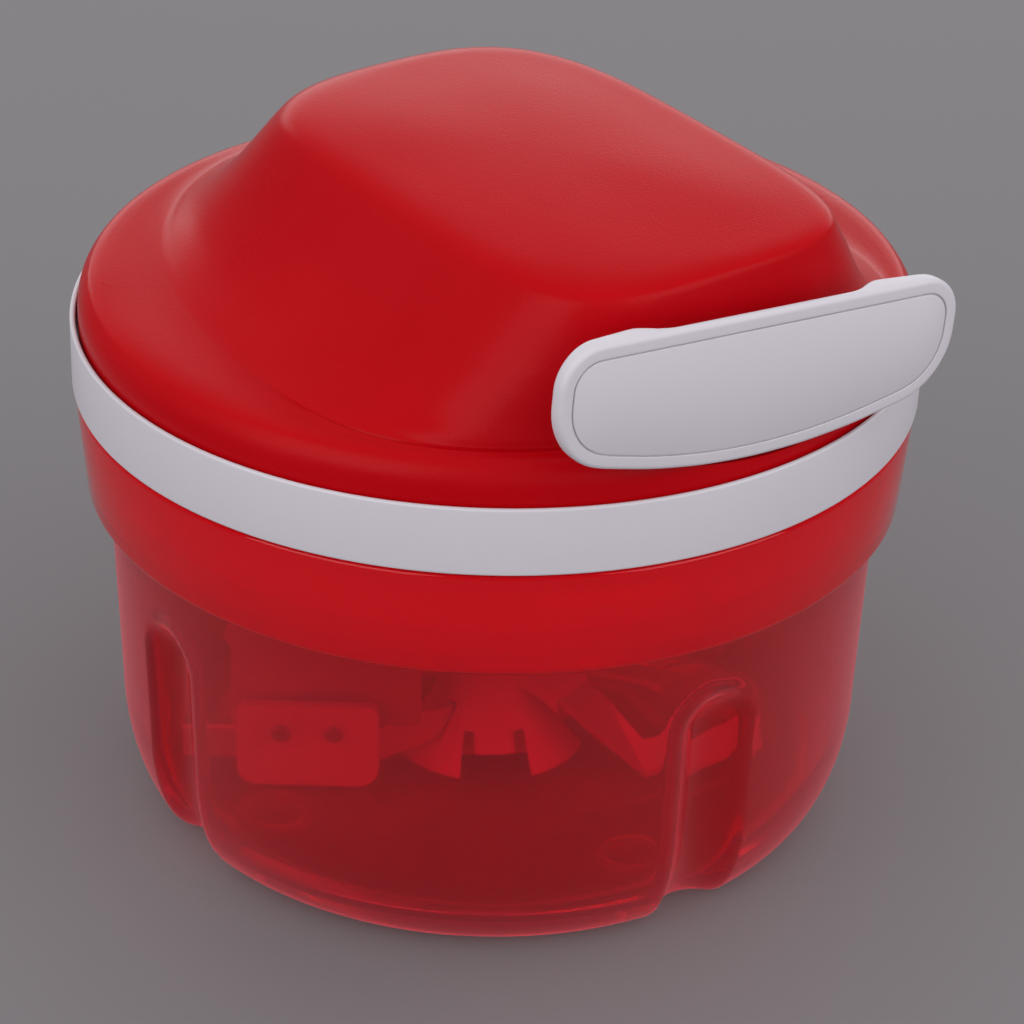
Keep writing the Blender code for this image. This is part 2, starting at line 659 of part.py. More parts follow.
def make_cover_base(material):
    lip_inner = RING_RADIUS - RING_LIP
    top = RING_Z + RING_HEIGHT
    seat_inner = RIM_RADIUS - HOUSING_WALL - 2 * GAP
    skirt_inner = SKIRT_RADIUS - SKIRT_WALL
    hub_outer = HUB_BORE_RADIUS + HUB_WALL
    profile = [
        (HUB_BORE_RADIUS, HUB_LOW_Z), (hub_outer, HUB_LOW_Z), (hub_outer, PLATE_LOW_Z),
        (skirt_inner, PLATE_LOW_Z), (skirt_inner, SKIRT_Z), (SKIRT_RADIUS, SKIRT_Z),
        (SKIRT_RADIUS, RING_Z), (RING_RADIUS - RING_ROUND, RING_Z), (RING_RADIUS, RING_Z + RING_ROUND),
        (RING_RADIUS, top - RING_ROUND), (RING_RADIUS - RING_ROUND, top), (lip_inner, top),
        (lip_inner, SHELF_Z), (seat_inner, SHELF_Z), (seat_inner, PLATE_TOP_Z),
        (hub_outer, PLATE_TOP_Z), (hub_outer, HUB_TOP_Z), (HUB_BORE_RADIUS, HUB_TOP_Z),
    ]
    base = turned("cover_base", profile, material, 60)
    half = LUG_LENGTH * 0.5
    tall = LUG_HEIGHT * 0.5
    corners = [(-half, 0.0, LUG_Z - tall), (half, 0.0, LUG_Z - tall), (half, 0.0, LUG_Z + tall),
               (-half, 0.0, LUG_Z + tall)]
    outline = rounded(corners, [tall * 0.96] * 4, 4)
    lug = extruded("lug", [point + Vector((0.0, -SKIRT_RADIUS + SINK, 0.0)) for point in outline],
                   (0.0, -(LUG_DEPTH + SINK), 0.0))
    join(base, merged("bayonet_lugs", turned_copies(lug, LUG_COUNT)))
    tools = []
    sink_top = PLATE_LOW_Z + SCREW_HEAD_HEIGHT + GAP
    head = SCREW_HEAD_RADIUS + GAP
    shank = SCREW_RADIUS + GAP
    for place in screw_places():
        tool = turned("screw_hole", [(0.0, PLATE_LOW_Z - OVERRUN), (head, PLATE_LOW_Z - OVERRUN), (head, sink_top),
                                     (shank, sink_top), (shank, PLATE_TOP_Z + OVERRUN),
                                     (0.0, PLATE_TOP_Z + OVERRUN)], None, 14)
        tool.data.transform(Matrix.Translation((place[0], place[1], 0.0)))
        tools.append(tool)
    cut(base, merged("screw_holes", tools))
    return base


def screw_places():
    """The cover screws' places, between the block's sides and its ends."""
    places = []
    for index in range(SCREW_COUNT):
        turn = math.tau * (index + 0.5) / SCREW_COUNT
        places.append((SCREW_CIRCLE_RADIUS * math.cos(turn), SCREW_CIRCLE_RADIUS * math.sin(turn)))
    return places


def outline_ring(front, rear, half, powers, limit, height):
    """One level of the housing: a long rounded block outline held inside a circle."""
    ring = []
    for step in range(HOUSING_STEPS):
        turn = math.tau * (step + 0.5) / HOUSING_STEPS
        along, across = math.cos(turn), math.sin(turn)
        reach = front - BLOCK_MIDDLE if along > 0 else rear + BLOCK_MIDDLE
        power = powers[0] if along > 0 else powers[1]
        block = ((abs(along) / reach) ** power + (abs(across) / half) ** power) ** (-1 / power)
        offset = BLOCK_MIDDLE * along
        circle = -offset + math.sqrt(offset * offset + limit * limit - BLOCK_MIDDLE * BLOCK_MIDDLE)
        radius = (block ** -16 + circle ** -16) ** (-1 / 16) if block < 10 * limit else circle
        ring.append((across * radius, -(BLOCK_MIDDLE + along * radius), height))
    return ring


def circle_ring(radius, height):
    wide = 1000 * radius
    return outline_ring(wide, wide, wide, (2.0, 2.0), radius, height)


def between(low, high, share):
    return low + (high - low) * share


def housing_rings(inset, drop, first):
    """Levels of the housing's skin, moved in and down by a wall, above a first level."""
    rim_z = RING_Z + RING_HEIGHT
    rings = [circle_ring(RIM_RADIUS - inset, first)]
    rings.append(circle_ring(RIM_RADIUS - inset, rim_z + RIM_BAND * RIM_WALL_SHARE - drop))
    for inward, upward in RIM_ROUND_SHARES:
        radius = between(RIM_RADIUS, SHOULDER_RADIUS, inward) - inset
        rings.append(circle_ring(radius, rim_z + RIM_BAND * upward - drop))
    rings.append(circle_ring(SHOULDER_RADIUS - inset, RING_Z + SHOULDER_HEIGHT - drop))
    for height, front, side, rear in BLOCK_PROFILE_SHARES:
        powers = [between(low, high, side) for low, high in zip(CREASE_POWERS, BLOCK_POWERS)]
        limit = SHOULDER_RADIUS - SHOULDER_STEP
        rings.append(outline_ring(between(CREASE_FRONT, BLOCK_FRONT, front) - inset,
                                  between(CREASE_REAR, BLOCK_REAR, rear) - inset,
                                  between(CREASE_HALF, BLOCK_HALF, side) - inset, powers, limit - inset,
                                  RING_Z + between(CREASE_HEIGHT, BLOCK_HEIGHT, height) - drop))
    for share in CROWN_SHARES:
        rings.append(outline_ring(BLOCK_MIDDLE + (BLOCK_FRONT - inset - BLOCK_MIDDLE) * share,
                                  (BLOCK_REAR - inset + BLOCK_MIDDLE) * share - BLOCK_MIDDLE,
                                  (BLOCK_HALF - inset) * share, BLOCK_POWERS, SHOULDER_RADIUS,
                                  RING_Z + BLOCK_HEIGHT + CROWN_RISE * (1 - share * share) - drop))
    return rings


def skin(data, rings, peak):
    """Faces over a stack of levels, closed with a fan at the peak; returns the lowest level."""
    levels = [[data.verts.new(point) for point in ring] for ring in rings]
    count = len(levels[0])
    for low, high in zip(levels, levels[1:]):
        for step in range(count):
            other = (step + 1) % count
            data.faces.new((low[step], low[other], high[other], high[step]))
    top = data.verts.new(peak)
    for step in range(count):
        data.faces.new((levels[-1][step], levels[-1][(step + 1) % count], top))
    return levels[0]


def blind_boss(name, bore, wall, low, bore_top, high):
    """A round boss with a blind hole from below."""
    return turned(name, [(0.0, bore_top), (bore, bore_top), (bore, low), (bore + wall, low), (bore + wall, high),
                         (0.0, high)], None, 16)


def make_top_housing(material):
    low = SHELF_Z + GAP
    data = bmesh.new()
    outer = skin(data, housing_rings(0.0, 0.0, low), (0.0, -BLOCK_MIDDLE, CROWN_Z))
    inner = skin(data, housing_rings(HOUSING_WALL, HOUSING_WALL, low),
                 (0.0, -BLOCK_MIDDLE, CROWN_Z - HOUSING_WALL))
    count = len(outer)
    for step in range(count):
        other = (step + 1) % count
        data.faces.new((outer[step], outer[other], inner[other], inner[step]))
    bmesh.ops.recalc_face_normals(data, faces=data.faces)
    probe = BVHTree.FromBMesh(data)
    housing = finish_mesh("top_housing", data, material, 32.0)
    bosses = []
    bore_top = PLATE_LOW_Z + SCREW_HEAD_HEIGHT + SCREW_LENGTH + 2 * GAP
    for place in screw_places():
        start = Vector((place[0], place[1], PLATE_TOP_Z))
        ceiling = probe.ray_cast(start, Vector((0.0, 0.0, 1.0)))[0].z
        boss = blind_boss("screw_boss", SCREW_RADIUS + GAP, BOSS_WALL, PLATE_TOP_Z + GAP, bore_top,
                          ceiling)
        boss.data.transform(Matrix.Translation(start * Vector((1.0, 1.0, 0.0))))
        for vert in boss.data.vertices:
            if vert.co.z > bore_top + SINK:
                below = Vector((vert.co.x, vert.co.y, PLATE_TOP_Z))
                vert.co.z = probe.ray_cast(below, Vector((0.0, 0.0, 1.0)))[0].z + HOUSING_WALL * 0.5
        bosses.append(boss)
    bosses.append(blind_boss("axle_boss", AXLE_BORE_RADIUS, AXLE_BOSS_WALL, BOSS_LOW_Z, AXLE_TOP_Z + GAP,
                             CROWN_Z - HOUSING_WALL * 0.5))
    join(housing, merged("housing_bosses", bosses))
    cut(housing, handle_block("dock_cutter", DOCK_GAP, None))
    hole = cylinder("eyelet_hole", EYELET_BORE + EYELET_WALL + GAP, EYELET_INNER - OVERRUN, RING_RADIUS)
    hole.data.transform(cord_axis())
    cut(housing, hole)
    return housing


def cord_axis():
    """Turns a piece modelled up the Z axis so that it runs towards -Y along the cord."""
    return Matrix.Translation((0.0, 0.0, CORD_Z)) @ Matrix.Rotation(math.pi * 0.5, 4, "X")


def handle_outline(grow, depth):
    """The handle's outline in the XZ plane, flat on top and bowed below."""
    base = RING_Z
    bow_steps = 8
    side = HANDLE_HALF + grow
    high = base + HANDLE_TOP + grow
    low = base + HANDLE_END_LOW - grow
    corners = [(-side, depth, high), (-side, depth, low)]
    rounds = [HANDLE_TOP_ROUND + grow, HANDLE_LOW_ROUND + grow]
    for step in range(1, bow_steps):
        share = 2 * step / bow_steps - 1
        drop = HANDLE_BOW * (1 - share * share)
        corners.append((side * share, depth, low - drop))
        rounds.append(0.0)
    corners += [(side, depth, low), (side, depth, high)]
    rounds += [HANDLE_LOW_ROUND + grow, HANDLE_TOP_ROUND + grow]
    return rounded(corners, rounds, 5)


def rolled(item):
    """Roll a handle piece about the cord, as it rests in the dock."""
    middle = Matrix.Translation((0.0, 0.0, CORD_Z))
    item.data.transform(middle @ Matrix.Rotation(HANDLE_ROLL, 4, "Y") @ middle.inverted())
    return item


def handle_block(name, grow, material):
    """The handle's outer form: a thin plate, thicker where the fingers hold it, with a boss for the cord."""
    front = -HANDLE_FACE - (OVERRUN if grow else 0.0)
    back = -HANDLE_FACE + HANDLE_GRIP_THICKNESS + grow + SINK
    edge = HANDLE_EDGE_ROUND
    levels = [(grow, front), (grow, back)]
    if not grow:
        levels = [(-edge, front), (-edge * 0.3, front + edge * 0.3), (0.0, front + edge)]
        for index in range(BACK_ROUND_STEPS + 1):
            turn = math.pi * 0.5 * index / BACK_ROUND_STEPS
            levels.append((-HANDLE_BACK_ROUND * (1 - math.cos(turn)),
                           back - HANDLE_BACK_ROUND * (1 - math.sin(turn))))
    data = bmesh.new()
    loft(data, [[data.verts.new(point) for point in handle_outline(wide, depth)] for wide, depth in levels])
    block = finish_mesh(name, data, material)
    thin, grip, end = [-HANDLE_FACE + thickness + grow
                       for thickness in (HANDLE_THICKNESS, HANDLE_GRIP_THICKNESS, HANDLE_END_THICKNESS)]
    side = HANDLE_HALF + grow
    outline = [(HANDLE_STEP_IN, thin), (HANDLE_STEP_OUT, grip), (side, end), (side + OVERRUN, end),
               (side + OVERRUN, back + OVERRUN)]
    outline = [(-across, depth, 0.0) for across, depth in outline[::-1]] + \
              [(across, depth, 0.0) for across, depth in outline]
    cut(block, extruded(name + "_back", outline, (0.0, 0.0, 2 * CROWN_Z)))
    boss = cylinder(name + "_boss", HANDLE_BOSS_RADIUS + grow, HANDLE_FACE - HANDLE_BOSS_DEPTH - grow,
                    HANDLE_FACE - FACE_THICKNESS, steps=24)
    boss.data.transform(cord_axis())
    join(block, boss)
    return rolled(baked(block))


def make_handle_shell(material):
    shell = handle_block("handle_shell", 0.0, material)
    recess = extruded("face_recess", handle_outline(-FACE_INSET, -HANDLE_FACE - OVERRUN),
                      (0.0, OVERRUN + FACE_THICKNESS + GAP, 0.0))
    cut(shell, rolled(recess))
    pocket = cylinder("knot_pocket", KNOT_RADIUS + GAP, HANDLE_FACE - FACE_THICKNESS - KNOT_LENGTH - 2 * GAP,
                      HANDLE_FACE - FACE_THICKNESS * 0.5)
    pocket.data.transform(cord_axis())
    cut(shell, pocket)
    bore = cylinder("cord_bore", EYELET_BORE, DRUM_RADIUS, HANDLE_FACE - FACE_THICKNESS * 0.5)
    bore.data.transform(cord_axis())
    cut(shell, bore)
    return shell


def make_handle_face(material):
    outline = handle_outline(-FACE_INSET - GAP, -HANDLE_FACE)
    return rolled(extruded("handle_face", outline, (0.0, FACE_THICKNESS, 0.0), material))


def make_cord_knot(material):
    high = HANDLE_FACE - FACE_THICKNESS - GAP - GAP
    low = high - KNOT_LENGTH
    bead = KNOT_LENGTH * 0.25
    profile = [(0.0, low), (KNOT_RADIUS - bead, low), (KNOT_RADIUS, low + bead), (KNOT_RADIUS, high - bead),
               (KNOT_RADIUS - bead, high), (0.0, high)]
    knot = turned("cord_knot", profile, material, 16)
    knot.data.transform(cord_axis())
    return knot


def make_eyelet(material):
    outer = EYELET_BORE + EYELET_WALL
    high = HANDLE_FACE - HANDLE_BOSS_DEPTH - 2 * DOCK_GAP
    low = EYELET_INNER
    bead = EYELET_WALL * 0.3
    profile = [(EYELET_BORE, low + bead), (EYELET_BORE + bead, low), (outer + EYELET_FLANGE, low),
               (outer + EYELET_FLANGE, low + EYELET_FLANGE_THICKNESS), (outer, low + EYELET_FLANGE_THICKNESS),
               (outer, high), (EYELET_BORE + bead, high), (EYELET_BORE, high - bead)]
    eyelet = turned("cord_eyelet", profile, material, 16)
    eyelet.data.transform(cord_axis())
    return eyelet


def lead_angle():
    """Where the cord leaves the winding on its way to the eyelet."""
    return -math.pi * 0.5 - math.acos(CORD_WIND_RADIUS / CORD_BEND_RADIUS)


def make_cord(lead_material):
    """The winding on the drum and the straight lead to the handle."""
    leave = lead_angle()
    top = CORD_Z + DRUM_HEIGHT * 0.5 - CORD_RADIUS - GAP
    steps = int(round(24 * CORD_TURNS))
    path = []
    for step in range(steps + 1):
        turned_by = math.tau * CORD_TURNS * step / steps
        turn = leave - turned_by
        height = top - CORD_PITCH * turned_by / math.tau
        path.append(Vector((CORD_WIND_RADIUS * math.cos(turn), CORD_WIND_RADIUS * math.sin(turn), height)))
    least = min((a - b).length for i, a in enumerate(path) for b in path[i + 12:])
    print("least gap of the winding to itself", round(least - 2 * CORD_RADIUS, 5))
    start = path[0]
    end = Vector((0.0, -(HANDLE_FACE - FACE_THICKNESS - KNOT_LENGTH - 3 * GAP), CORD_Z))
    wall = Vector((0.0, -CORD_BEND_RADIUS, CORD_Z))
    way = (wall - start).normalized()
    path.insert(0, start + way * CORD_RADIUS)
    tube("cord_winding", path, CORD_RADIUS, 8, lead_material)
    lead = [start + way * (CORD_RADIUS + GAP)]
    lead += [start.lerp(wall, share) for share in (0.25, 0.5, 0.75, 0.94)]
    lead += [wall.lerp(end, share) for share in (0.3, 1.0)]
    tube("cord_lead", lead, CORD_RADIUS, 8, lead_material)


def make_reel(material):
    hub = REEL_HUB_RADIUS
    cup_outer = FLANGE_RADIUS
    cup_inner = cup_outer - CUP_WALL
    profile = [
        (AXLE_BORE_RADIUS, REEL_LOW_Z), (FLANGE_RADIUS, REEL_LOW_Z), (FLANGE_RADIUS, DRUM_LOW_Z),
        (DRUM_RADIUS, DRUM_LOW_Z), (DRUM_RADIUS, DRUM_LOW_Z + DRUM_HEIGHT),
        (cup_outer, DRUM_LOW_Z + DRUM_HEIGHT), (cup_outer, CUP_TOP_Z), (cup_inner, CUP_TOP_Z),
        (cup_inner, REEL_TOP_Z), (hub, REEL_TOP_Z), (AXLE_BORE_RADIUS, REEL_TOP_Z),
    ]
    reel = turned("reel", profile, material, 36)
    for place in pawl_places():
        join(reel, cylinder("pawl_pin", PAWL_PIN_RADIUS, RATCHET_LOW_Z, REEL_LOW_Z + SINK, place, None, 16))
    return reel


def pawl_places():
    return [(PAWL_CIRCLE_RADIUS, 0.0), (-PAWL_CIRCLE_RADIUS, 0.0)]


def make_pawl(name, material, turn):
    """A strut from its pin to a tooth of the ratchet wheel."""
    pin = Vector((PAWL_CIRCLE_RADIUS, 0.0, RATCHET_LOW_Z))
    low = RATCHET_LOW_Z + GAP
    eye = PAWL_PIN_RADIUS + GAP + PAWL_EYE_WALL
    root = RATCHET_ROOT + GAP + GAP
    tip_turn = PAWL_TIP_ANGLE - GAP / root
    tip = Vector((root * math.cos(tip_turn), root * math.sin(tip_turn), low))
    heel_radius = root + PAWL_TIP_WIDTH
    heel = Vector((heel_radius * math.cos(tip_turn), heel_radius * math.sin(tip_turn), low))
    middle = Vector((pin.x, pin.y, low))
    outline = [tip, heel]
    towards = (heel - middle).normalized()
    first = math.atan2(towards.y, towards.x) - PAWL_EYE_START
    steps = 12
    for step in range(steps + 1):
        turn_step = first - PAWL_EYE_SWEEP * step / steps
        outline.append(middle + Vector((math.cos(turn_step) * eye, math.sin(turn_step) * eye, 0.0)))
    pawl = extruded(name, outline, (0.0, 0.0, PAWL_THICKNESS), material)
    cut(pawl, cylinder(name + "_eye", PAWL_PIN_RADIUS + GAP, RATCHET_LOW_Z - OVERRUN, REEL_LOW_Z + OVERRUN,
                       (pin.x, pin.y), None, 16))
    baked(pawl)
    pawl.data.transform(Matrix.Rotation(turn, 4, "Z"))
    return pawl


def make_ratchet(material):
    outline = []
    pitch = math.tau / RATCHET_TEETH
    for index in range(RATCHET_TEETH):
        face = PAWL_TIP_ANGLE + pitch * index
        for share in (0.0, 0.5):
            turn = face + pitch * share
            radius = between(RATCHET_RADIUS, RATCHET_ROOT, share)
            outline.append(Vector((radius * math.cos(turn), radius * math.sin(turn), RATCHET_LOW_Z)))
        turn = face + pitch
        outline.append(Vector((RATCHET_ROOT * math.cos(turn), RATCHET_ROOT * math.sin(turn), RATCHET_LOW_Z)))
    wheel = extruded("ratchet_wheel", outline, (0.0, 0.0, RATCHET_THICKNESS), material)
    cut(wheel, cylinder("ratchet_bore", SPIGOT_RADIUS + GAP, RATCHET_LOW_Z - OVERRUN, RATCHET_TOP_Z + OVERRUN))
    return wheel


def make_drive_socket(material):
    inner = SOCKET_RADIUS - SOCKET_WALL
    ceiling = SOCKET_LOW_Z + SOCKET_DEPTH
    flange = HUB_BORE_RADIUS + SOCKET_FLANGE
    flange_low = HUB_TOP_Z + GAP
    profile = [(0.0, ceiling), (inner, ceiling), (inner, SOCKET_LOW_Z), (SOCKET_RADIUS, SOCKET_LOW_Z),
               (SOCKET_RADIUS, flange_low), (flange, flange_low), (flange, SOCKET_TOP_Z),
               (DRIVE_SHAFT_RADIUS, SOCKET_TOP_Z), (DRIVE_SHAFT_RADIUS, RATCHET_LOW_Z - GAP),
               (SPIGOT_RADIUS, RATCHET_LOW_Z - GAP), (SPIGOT_RADIUS, SPIGOT_TOP_Z), (0.0, SPIGOT_TOP_Z)]
    socket = turned("drive_socket", profile, material, 28)
    dog = arc_block("dog", inner - DOG_DEPTH, inner + SINK, SOCKET_LOW_Z, ceiling + SINK,
                    INSERT_TURN + math.pi * 0.5, DOG_ANGLE)
    join(socket, merged("drive_dogs", turned_copies(dog, 2)))
    return socket


def make_axle(material):
    chamfer = AXLE_RADIUS * 0.2
    profile = [(0.0, AXLE_LOW_Z), (AXLE_RADIUS - chamfer, AXLE_LOW_Z), (AXLE_RADIUS, AXLE_LOW_Z + chamfer),
               (AXLE_RADIUS, AXLE_TOP_Z - chamfer), (AXLE_RADIUS - chamfer, AXLE_TOP_Z), (0.0, AXLE_TOP_Z)]
    return turned("reel_axle", profile, material, 20)


def make_clip(material):
    high = REEL_LOW_Z - GAP
    low = high - CLIP_THICKNESS
    inner = AXLE_BORE_RADIUS
    outer = inner + CLIP_WIDTH
    profile = [(inner, low), (outer, low), (outer, high), (inner, high)]
    return turned("axle_clip", profile, material, 20)


def make_arbor(material):
    low = REEL_TOP_Z + GAP
    high = BOSS_LOW_Z - GAP
    outer = AXLE_BORE_RADIUS + ARBOR_WALL
    profile = [(AXLE_BORE_RADIUS, low), (outer, low), (outer, high), (AXLE_BORE_RADIUS, high)]
    return turned("spring_arbor", profile, material, 20)


def make_spring_cover(material):
    low = CUP_TOP_Z + GAP
    high = low + FLANGE_THICKNESS
    inner = AXLE_BORE_RADIUS + ARBOR_WALL + 2 * GAP
    profile = [(inner, low), (FLANGE_RADIUS - GAP, low), (FLANGE_RADIUS - GAP, high - GAP),
               (FLANGE_RADIUS - 2 * GAP, high), (inner, high)]
    return turned("spring_cover", profile, material, 32)


def make_power_spring(material):
    """A flat strip wound in a spiral between the arbor and the cup's wall."""
    inner = AXLE_BORE_RADIUS + ARBOR_WALL + GAP + SPRING_THICKNESS * 0.5
    outer = FLANGE_RADIUS - CUP_WALL - GAP - SPRING_THICKNESS * 0.5
    low = REEL_TOP_Z + GAP
    steps = int(round(16 * SPRING_TURNS))
    data = bmesh.new()
    columns = []
    for step in range(steps + 1):
        share = step / steps
        turn = math.tau * SPRING_TURNS * share
        radius = between(inner, outer, share)
        column = []
        for side, height in ((-0.5, low), (0.5, low), (0.5, low + SPRING_HEIGHT), (-0.5, low + SPRING_HEIGHT)):
            at = radius + SPRING_THICKNESS * side
            column.append(data.verts.new((at * math.cos(turn), at * math.sin(turn), height)))
        columns.append(column)
    loft(data, columns)
    return finish_mesh("power_spring", data, material)


def make_screws(material):
    for index, place in enumerate(screw_places()):
        low = PLATE_LOW_Z
        neck = low + SCREW_HEAD_HEIGHT
        high = neck + SCREW_LENGTH
        profile = [(0.0, low + SCREW_HEAD_HEIGHT * 0.5), (SCREW_RADIUS, low), (SCREW_HEAD_RADIUS, low),
                   (SCREW_HEAD_RADIUS, neck), (SCREW_RADIUS, neck), (SCREW_RADIUS, high - SCREW_RADIUS),
                   (SCREW_RADIUS * 0.3, high), (0.0, high)]
        screw = turned(f"cover_screw_{index + 1}", profile, material, 12)
        screw.data.transform(Matrix.Translation((place[0], place[1], 0.0)))


def turn_insert(item):
    """Turn a piece of the insert to where it rests."""
    item.data.transform(Matrix.Rotation(INSERT_TURN, 4, "Z"))
    return item


def make_column(material):
    neck_z = BELL_TOP_Z + (BELL_TOP_RADIUS - COLUMN_RADIUS)
    bore_top = PIVOT_BOSS_Z - PIVOT_PIN_SEAT + PIVOT_PIN_LENGTH + 2 * GAP
    bore = PIVOT_PIN_RADIUS + GAP
    profile = [(0.0, bore_top), (bore, bore_top), (bore, THRUST_Z), (THRUST_RADIUS, THRUST_Z),
               (CLAW_INNER_RADIUS, BELL_LOW_Z)]
    bell_steps = 7
    for step in range(bell_steps + 1):
        share = step / bell_steps
        flare = (1 - share) ** BELL_FLARE_POWER
        radius = between(BELL_TOP_RADIUS, BELL_FOOT_RADIUS, flare)
        profile.append((radius, between(BELL_LOW_Z, BELL_TOP_Z, share)))
    profile += [(COLUMN_RADIUS, neck_z), (COLUMN_RADIUS, COLUMN_TOP_Z), (0.0, COLUMN_TOP_Z)]
    column = turned("insert_column", profile, material, 32)
    tab = CLAW_TAB_WIDTH * 0.5
    slit = tab + CLAW_SLIT_WIDTH
    foot = slit + CLAW_SLIT_FLARE
    low = BELL_LOW_Z - SINK
    high = BELL_LOW_Z + CLAW_SLIT_HEIGHT
    lift = BELL_LOW_Z + CLAW_TAB_LIFT
    outline = [(-foot, low), (foot, low), (slit, high), (tab, high), (tab, lift), (-tab, lift), (-tab, high),
               (-slit, high)]
    outline = [(across, -BELL_TOP_RADIUS, height) for across, height in outline]
    claws = extruded("claws", outline, (0.0, -BELL_FOOT_RADIUS, 0.0))
    cut(column, merged("claw_slits", turned_copies(claws, CLAW_COUNT, CLAW_TURN)))
    cut(column, arc_block("arm_window", BELL_TOP_RADIUS - WINDOW_DEPTH, BELL_FOOT_RADIUS + OVERRUN, low,
                          BELL_LOW_Z + WINDOW_HEIGHT, WINDOW_TURN, WINDOW_ANGLE))
    join(column, blade_seat())
    tang_half = TANG_LENGTH * 0.5
    thick = TANG_THICKNESS * 0.5
    corners = [(-tang_half, -thick, COLUMN_TOP_Z - SINK), (tang_half, -thick, COLUMN_TOP_Z - SINK),
               (tang_half, thick, COLUMN_TOP_Z - SINK), (-tang_half, thick, COLUMN_TOP_Z - SINK)]
    tang = extruded("tang", rounded(corners, [thick * 0.5] * 4, 3), (0.0, 0.0, TANG_HEIGHT + SINK))
    join(column, tang)
    for tool in insert_slots():
        cut(column, tool)
    return turn_insert(baked(column))


def make_arm(name, grow, material):
    """A band on edge from its root in the bell, with a raised part where the paddle is held."""
    low = FLOOR_Z + ARM_LIFT - grow
    high = FLOOR_Z + ARM_LIFT + ARM_HEIGHT + grow
    raised = high + ARM_LUG_RISE
    half = ARM_THICKNESS * 0.5 + grow
    root_radius = BELL_TOP_RADIUS - ARM_ROOT_DEPTH
    root = Vector((root_radius * math.cos(ARM_ROOT_TURN), root_radius * math.sin(ARM_ROOT_TURN)))
    knee = Vector((-PADDLE_IN, -ARM_OFFSET))
    first = (knee - root).normalized()
    near = Vector((-first.y, first.x))
    far = Vector((0.0, -1.0))
    fold = (near + far).normalized()
    rows = [(root - first * grow, near * half, high), (knee, fold * (half / fold.dot(near)), high)]
    inner, outer = PADDLE_IN + ARM_LUG_INSET, PADDLE_OUT - ARM_LUG_INSET
    for along, top in ((inner, high), (inner + ARM_LUG_SLOPE, raised), (outer - ARM_LUG_SLOPE, raised),
                       (outer, high), (ARM_REACH + grow, high)):
        rows.append((Vector((-along, -ARM_OFFSET)), far * half, top))
    data = bmesh.new()
    sections = []
    for point, side, top in rows:
        corners = [point - side, point + side]
        section = [(corner.x, corner.y, low) for corner in corners]
        section += [(corner.x, corner.y, top) for corner in corners[::-1]]
        sections.append([data.verts.new(corner) for corner in section])
    loft(data, sections)
    return finish_mesh(name, data, material)


def blade_line(grow):
    """The folded strip's root, knee and tip, and the ways of its two runs."""
    knee = Vector((BLADE_KNEE[0], BLADE_KNEE[1], FLOOR_Z + BLADE_LIFT + BLADE_THICKNESS * 0.5))
    slope = Vector((math.cos(BLADE_BEND), -math.sin(BLADE_BEND), 0.0))
    level = Vector((math.cos(BLADE_BEND), math.sin(BLADE_BEND), 0.0))
    root = knee - slope * (BLADE_SLOPE_RUN + grow) + Vector((0.0, 0.0, BLADE_ROOT_LIFT))
    return root, knee, knee + level * (BLADE_LEVEL_RUN + grow), slope


def strip(name, rows, half, material):
    """A strip through (point, sideways) rows, as thick as twice a half."""
    data = bmesh.new()
    sections = []
    for point, side in rows:
        corners = [point - side, point + side]
        section = [corner + Vector((0.0, 0.0, -half)) for corner in corners]
        section += [corner + Vector((0.0, 0.0, half)) for corner in corners[::-1]]
        sections.append([data.verts.new(corner) for corner in section])
    loft(data, sections)
    return finish_mesh(name, data, material)


def bent_blade(name, grow, material):
    """A folded strip that drops from the bell's shoulder to a knee and runs out level above the floor."""
    width = BLADE_WIDTH * 0.5 + grow
    root, knee, tip, slope = blade_line(grow)
    fold = Vector((0.0, width / math.cos(BLADE_BEND), 0.0))
    side = Vector((-slope.y, slope.x, 0.0)) * width
    rows = [(root, side), (root.lerp(knee, BLADE_FLAT_SHARE), side), (knee, fold), (tip, fold)]
    return strip(name, rows, BLADE_THICKNESS * 0.5 + grow, material)


def blade_seat():
    """The column's sleeve round the blade's root."""
    root, knee, _, slope = blade_line(0.0)
    side = Vector((-slope.y, slope.x, 0.0)) * (BLADE_WIDTH * 0.5 + BLADE_SEAT_WALL)
    end = root + (knee - root).normalized() * BLADE_SEAT_RUN
    return strip("blade_seat", [(root, side), (end, side)], BLADE_THICKNESS * 0.5 + BLADE_SEAT_WALL, None)


def loft(data, sections):
    """Faces over a row of closed sections, with both ends capped."""
    count = len(sections[0])
    for near, far in zip(sections, sections[1:]):
        for corner in range(count):
            other = (corner + 1) % count
            data.faces.new((near[corner], near[other], far[other], far[corner]))
    data.faces.new(sections[0][::-1])
    data.faces.new(sections[-1])


def rear_blade(name, grow, material):
    """A level curved blade with a pointed end."""
    half = BLADE_THICKNESS * 0.5 + grow
    width = REAR_BLADE_WIDTH * 0.5 + grow
    height = REAR_BLADE_Z
    reach = REAR_BLADE_REACH
    steps = 8
    near = []
    far = []
    for step in range(steps + 1):
        share = step / steps
        along = between(REAR_BLADE_ROOT - grow, reach - width, share)
        bow = REAR_BLADE_WIDTH * REAR_BLADE_BOW_SHARE * share * share
        across = width * (1 - REAR_BLADE_TAPER_SHARE * share)
        near.append(Vector((along, bow - across, height - half)))
        far.append(Vector((along, bow + across, height - half)))
    tip = Vector((reach, far[-1].y, height - half))
    blade = extruded(name, near + [tip] + far[::-1], (0.0, 0.0, 2 * half), material)
    blade.data.transform(Matrix.Rotation(REAR_BLADE_TURN, 4, "Z"))
    return blade


def insert_slots():
    """Slots in the column for the roots of the arm and the blades."""
    return [make_arm("arm_slot", GAP, None), bent_blade("blade_slot", GAP, None),
            rear_blade("rear_slot", GAP, None)]


def paddle_levels():
    low = FLOOR_Z + PADDLE_LIFT
    return low, low + PADDLE_HEIGHT


